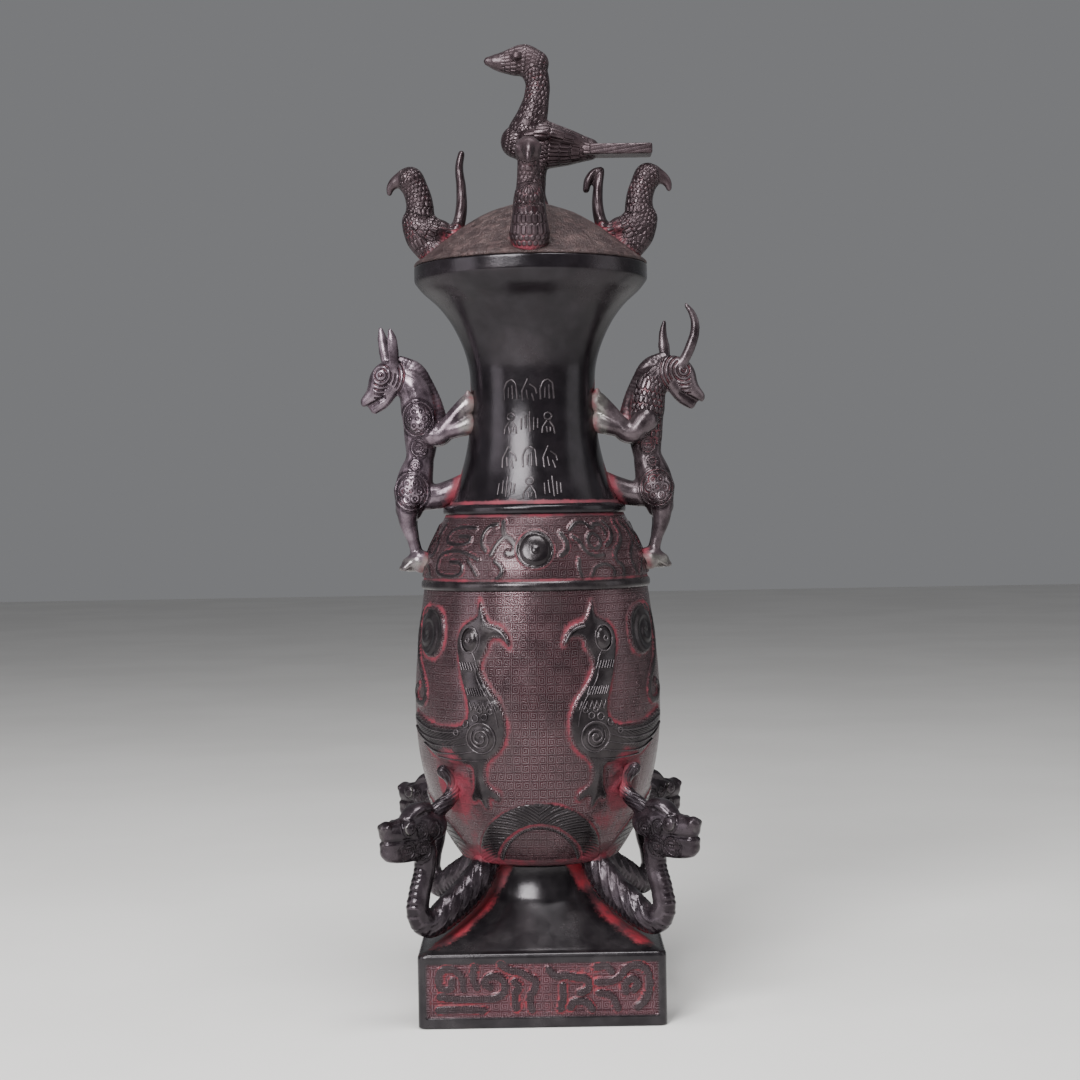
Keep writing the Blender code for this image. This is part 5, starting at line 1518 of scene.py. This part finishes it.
def make_vessel():
    black = bronze("near black polished bronze", (0.009, 0.007, 0.009), (0.020, 0.015, 0.018), 26.0, 0.17, 0.30, 0.0,
                   0.3, (0.042, 0.036, 0.043), metal=0.55, dust=0.03)
    relief = bronze("mottled relief bronze", (0.012, 0.009, 0.011), (0.030, 0.024, 0.025), 40.0, 0.20, 0.36, 0.10,
                    0.40, (0.086, 0.074, 0.078), metal=0.60, dust=0.02, cells=round_cells, ground=0.00060,
                    soil=(0.110, 0.074, 0.082), red=(0.150, 0.011, 0.025), dull_red=(0.042, 0.010, 0.015))
    # Lighter bronze for the raised lines and strokes: partly rubbed wear, partly a painted highlight that stands in
    # for glints along the ridges.
    thread = bronze("rubbed raised lines with painted highlight", (0.026, 0.021, 0.024), (0.052, 0.043, 0.047), 60.0, 0.22, 0.36, 0.0,
                    0.7, (0.110, 0.094, 0.101), metal=0.60, dust=0.0)
    plinth = bronze("plinth bronze", (0.011, 0.009, 0.011), (0.021, 0.018, 0.020), 22.0, 0.19, 0.30, 0.22,
                    0.30, (0.070, 0.062, 0.067), metal=0.55, dust=0.02, cells=flat_cells, ground=0.00050,
                    soil=(0.150, 0.082, 0.098), red=(0.240, 0.012, 0.024))
    for make, finish in ((make_body, relief), (make_shoulder, relief), (make_neck, black), (make_foot, plinth)):
        dress(make(), finish, "near_black_bronze", "vessel")
    strokes = stroke_tree()
    drawn = [("inscription_strokes", STROKE_HALF, 0.0011, inscription_lines())]
    drawn += [("relief_threads_%d" % k, half, 0.0014, lines)
              for k, (half, lines) in enumerate(sorted(bird_threads().items()))]
    for name, half, step, lines in drawn:
        values = {"Stroke radius": half * 0.001, "Step": step, "Metal": thread}
        dress(grown_from(name, strokes, lines, values), thread, "near_black_bronze")
    lines, outward = lunette_beads()
    values = {"Count": 46, "Bead size": (0.0009, 0.0012, 0.0006), "Slant": 0.5, "Metal": relief}
    dress(grown_from("lunette_beads", repeat_tree(), lines, values, outward), relief, "near_black_bronze")


def make_animals():
    lid = bronze("worn brown bronze", (0.024, 0.013, 0.014), (0.078, 0.046, 0.045), 150.0, 0.36, 0.60, 0.0,
                 0.35, (0.105, 0.072, 0.068), metal=0.40, dust=0.03, grain=0.00110)
    bird = bronze("bird bronze", (0.024, 0.014, 0.017), (0.052, 0.033, 0.038), 60.0, 0.30, 0.46, 0.0,
                  0.60, (0.130, 0.098, 0.108), metal=0.60, dust=0.03, depth=0.00036, seep=0.30)
    # Lighter copy of the beast bronze for the left beast, with a brighter lilac sheen on its crowns: painted light
    # from the left. The right beast keeps the darker copy.
    beast_with_painted_light = bronze("rubbed beast bronze with painted lilac light", (0.036, 0.024, 0.032), (0.100, 0.072, 0.088), 60.0, 0.22, 0.38,
                        0.0, 0.95, (0.260, 0.205, 0.240), metal=0.65, dust=0.05, depth=0.00050, seep=0.35)
    dark_beast = bronze("dark beast bronze", (0.020, 0.013, 0.016), (0.048, 0.033, 0.038), 60.0, 0.22, 0.40, 0.0,
                        0.85, (0.145, 0.114, 0.126), metal=0.60, dust=0.05, depth=0.00050, seep=0.45)
    dragon = bronze("dragon bronze", (0.013, 0.009, 0.012), (0.028, 0.019, 0.024), 50.0, 0.18, 0.34, 0.0,
                    0.55, (0.105, 0.084, 0.098), metal=0.60, dust=0.04, depth=0.00042, seep=0.30)
    dress(make_lid(), lid, "worn_olive_bronze", "lid")

    body = [limb(FINIAL_BODY, 0.85), limb(FINIAL_NECK, 0.9), limb(FINIAL_HEAD, 0.8), limb(FINIAL_STEM)]
    body += pair(FINIAL_WING) + ball_pair(FINIAL_EYE) + [blade(*FINIAL_TAIL)]
    tail_line = ((30, 0, 34, 8), (78, 0, 32.5, 7))
    carve = bird_carver((FINIAL_BODY, FINIAL_NECK, FINIAL_HEAD, FINIAL_STEM, tail_line), (4,), (), beak=-17.5)
    at = Matrix.Translation((0.0, 0.0, (LID_SEAT + LID_HEIGHT) * 0.001))
    cast_animal("finial_bird", body, carve, at, bird, "bird_bronze", near_lid)

    for name, turn, tails, rise in (
        ("lid_bird_front", -90.0, (LID_BIRD_TAIL,), FRONT_BIRD_RISE),
        ("lid_bird_right", 0.0, (LID_BIRD_TAIL, LID_BIRD_TAIL_HOOK), 0.0),
        ("lid_bird_back", 90.0, (LID_BIRD_TAIL,), 0.0),
        ("lid_bird_left", 180.0, (LID_BIRD_LONG_TAIL,), 0.0),
    ):
        front = name == "lid_bird_front"
        neck = FRONT_BIRD_NECK if front else LID_BIRD_NECK
        breast = FRONT_BIRD_BREAST if front else LID_BIRD_BREAST
        body = [limb(LID_BIRD_BODY, 0.9), limb(neck), limb(LID_BIRD_BEAK, 0.8), limb(LID_BIRD_PAD), limb(breast)]
        body += [limb(FRONT_BIRD_HEAD)] if front else pair(LID_BIRD_WING)
        body += [limb(tail, 1.8) for tail in tails] + ball_pair(LID_BIRD_EYE)
        limbs = (LID_BIRD_BODY, neck, LID_BIRD_BEAK, FRONT_BIRD_HEAD if front else LID_BIRD_PAD, breast, *tails)
        carve = bird_carver(limbs, (5, 6), (2, 3) if front else (2,), 3.8 if front else 3.2)
        at = Matrix.Translation((LID_BIRD_SEAT * 0.001, 0.0, (LID_SEAT + LID_BIRD_RISE + rise) * 0.001))
        at = Matrix.Rotation(math.radians(turn), 4, "Z") @ at
        cast_animal(name, body, carve, at, bird, "bird_bronze", near_lid)

    for name, flip, ear, horn, beast, coat, rounds in (
        ("handle_beast_right", 1.0, BEAST_EAR_RIGHT, BEAST_HORN_RIGHT, dark_beast, 0.8, BEAST_MEDALLIONS[1:]),
        ("handle_beast_left", -1.0, BEAST_EAR_LEFT, BEAST_HORN_LEFT, beast_with_painted_light, 0.0, BEAST_MEDALLIONS),
    ):
        body = [limb(BEAST_TRUNK, 0.95), limb(BEAST_HEAD, 0.9), limb(BEAST_JAW, 0.9), limb(BEAST_MANE, 0.7)]
        body += [limb(BEAST_RUMP), limb(ear, 0.6), limb(horn, 0.8)]
        for one in (BEAST_HINDLEG, BEAST_FOOT, BEAST_FORELEG, BEAST_FAR_PAW, BEAST_BROW, *BEAST_TOES):
            body += pair(one)
        body += ball_pair(BEAST_EYE)
        at = Matrix.Translation((NECK_RADIUS * 0.001, 0.0, UPPER_RING * 0.001))
        at = Matrix.Diagonal((flip, 1.0, 1.0, 1.0)) @ at
        carve = beast_carver(ear, horn, coat, rounds)
        cast_animal(name, body, carve, at, beast, "beast_bronze", near_vessel)

    for name, x_sign, y_sign in (
        ("corner_dragon_front_left", -1.0, -1.0),
        ("corner_dragon_front_right", 1.0, -1.0),
        ("corner_dragon_back_left", -1.0, 1.0),
        ("corner_dragon_back_right", 1.0, 1.0),
    ):
        body = [limb(DRAGON_BODY, 0.85), limb(DRAGON_HEAD, 0.85), limb(DRAGON_JAW), limb(DRAGON_BROW, 2.0)]
        body += [limb(DRAGON_CREST, 0.9), limb(DRAGON_LIPS), ball(DRAGON_NOSE), ball(DRAGON_LIP)]
        body += ball_pair(DRAGON_EYE) + ball_pair(DRAGON_NOSTRIL)
        at = Matrix.Rotation(math.radians(DRAGON_TURN), 4, "Z") @ Matrix.Translation((0.0, 0.0, PLINTH_TOP * 0.001))
        at = Matrix.Diagonal((x_sign, y_sign, 1.0, 1.0)) @ at
        cast_animal(name, body, dragon_carver, at, dragon, "dragon_bronze", near_vessel)


# Studio

def pale_floor():
    """A plain pale floor."""
    mesh = bpy.data.meshes.new("floor")
    mesh.from_pydata([(-6, -6, 0), (6, -6, 0), (6, 6, 0), (-6, 6, 0)], [], [(0, 1, 2, 3)])
    floor = placed("floor", mesh)
    material = bpy.data.materials.new("pale floor")
    material.use_nodes = True
    tree = material.node_tree
    shader = tree.nodes["Principled BSDF"]
    place = Wire(tree, lay(tree, "ShaderNodeTexCoord").outputs["Object"])
    mottle = spread(noise(place, 3.0), 0.35, 0.65)
    join(tree, blend_colour(mottle, (0.70, 0.69, 0.67, 1), (0.74, 0.73, 0.71, 1)), shader.inputs["Base Color"])
    shader.inputs["Roughness"].default_value = 0.7
    mesh.materials.append(material)


def soft_light(name, place, aim, wide, tall, power, colour=(1.0, 1.0, 1.0)):
    """One soft box that looks at a point."""
    light = bpy.data.lights.new(name, "AREA")
    light.shape = "RECTANGLE"
    light.size = wide
    light.size_y = tall
    light.energy = power
    light.color = colour
    made = placed(name, light)
    made.location = place
    made.rotation_euler = (Vector(aim) - Vector(place)).to_track_quat("-Z", "Y").to_euler()


def studio():
    """A pale room and four soft boxes."""
    world = bpy.data.worlds.new("pale studio")
    bpy.context.scene.world = world
    world.use_nodes = True
    back = world.node_tree.nodes["Background"]
    back.inputs["Color"].default_value = (0.80, 0.81, 0.84, 1.0)
    back.inputs["Strength"].default_value = 0.24
    soft_light("key", (-0.74, -1.64, 1.30), (0, 0, 0.34), 0.90, 1.10, 78.0)
    soft_light("fill", (1.70, -0.35, 0.75), (0, 0, 0.28), 0.90, 1.40, 5.0)
    soft_light("left fill", (-1.70, -0.75, 0.65), (0, 0, 0.30), 0.80, 1.20, 9.0, (1.0, 0.95, 1.0))
    soft_light("top", (0.10, -0.45, 1.75), (0, 0, 0.2), 0.90, 0.60, 30.0)


SENSOR = 36.0
FOCAL_SHARE = 2049.0 / 1080.0
CAMERA_AT = (0.0031, -1.300, 0.314)
CAMERA_DIP = 0.98
CAMERA_LEAN = 0.97


def camera():
    """The camera in front of the vase, a little above its middle."""
    lens = bpy.data.cameras.new("camera")
    lens.sensor_width = SENSOR
    lens.lens = SENSOR * FOCAL_SHARE
    lens.clip_start = 0.05
    lens.clip_end = 30.0
    made = placed("camera", lens)
    pitch = Matrix.Rotation(math.radians(90.0 - CAMERA_DIP), 4, "X")
    roll = Matrix.Rotation(math.radians(-CAMERA_LEAN), 4, "Z")
    made.matrix_world = Matrix.Translation(CAMERA_AT) @ pitch @ roll
    bpy.context.scene.camera = made


camera()
make_vessel()
make_animals()
pale_floor()
studio()
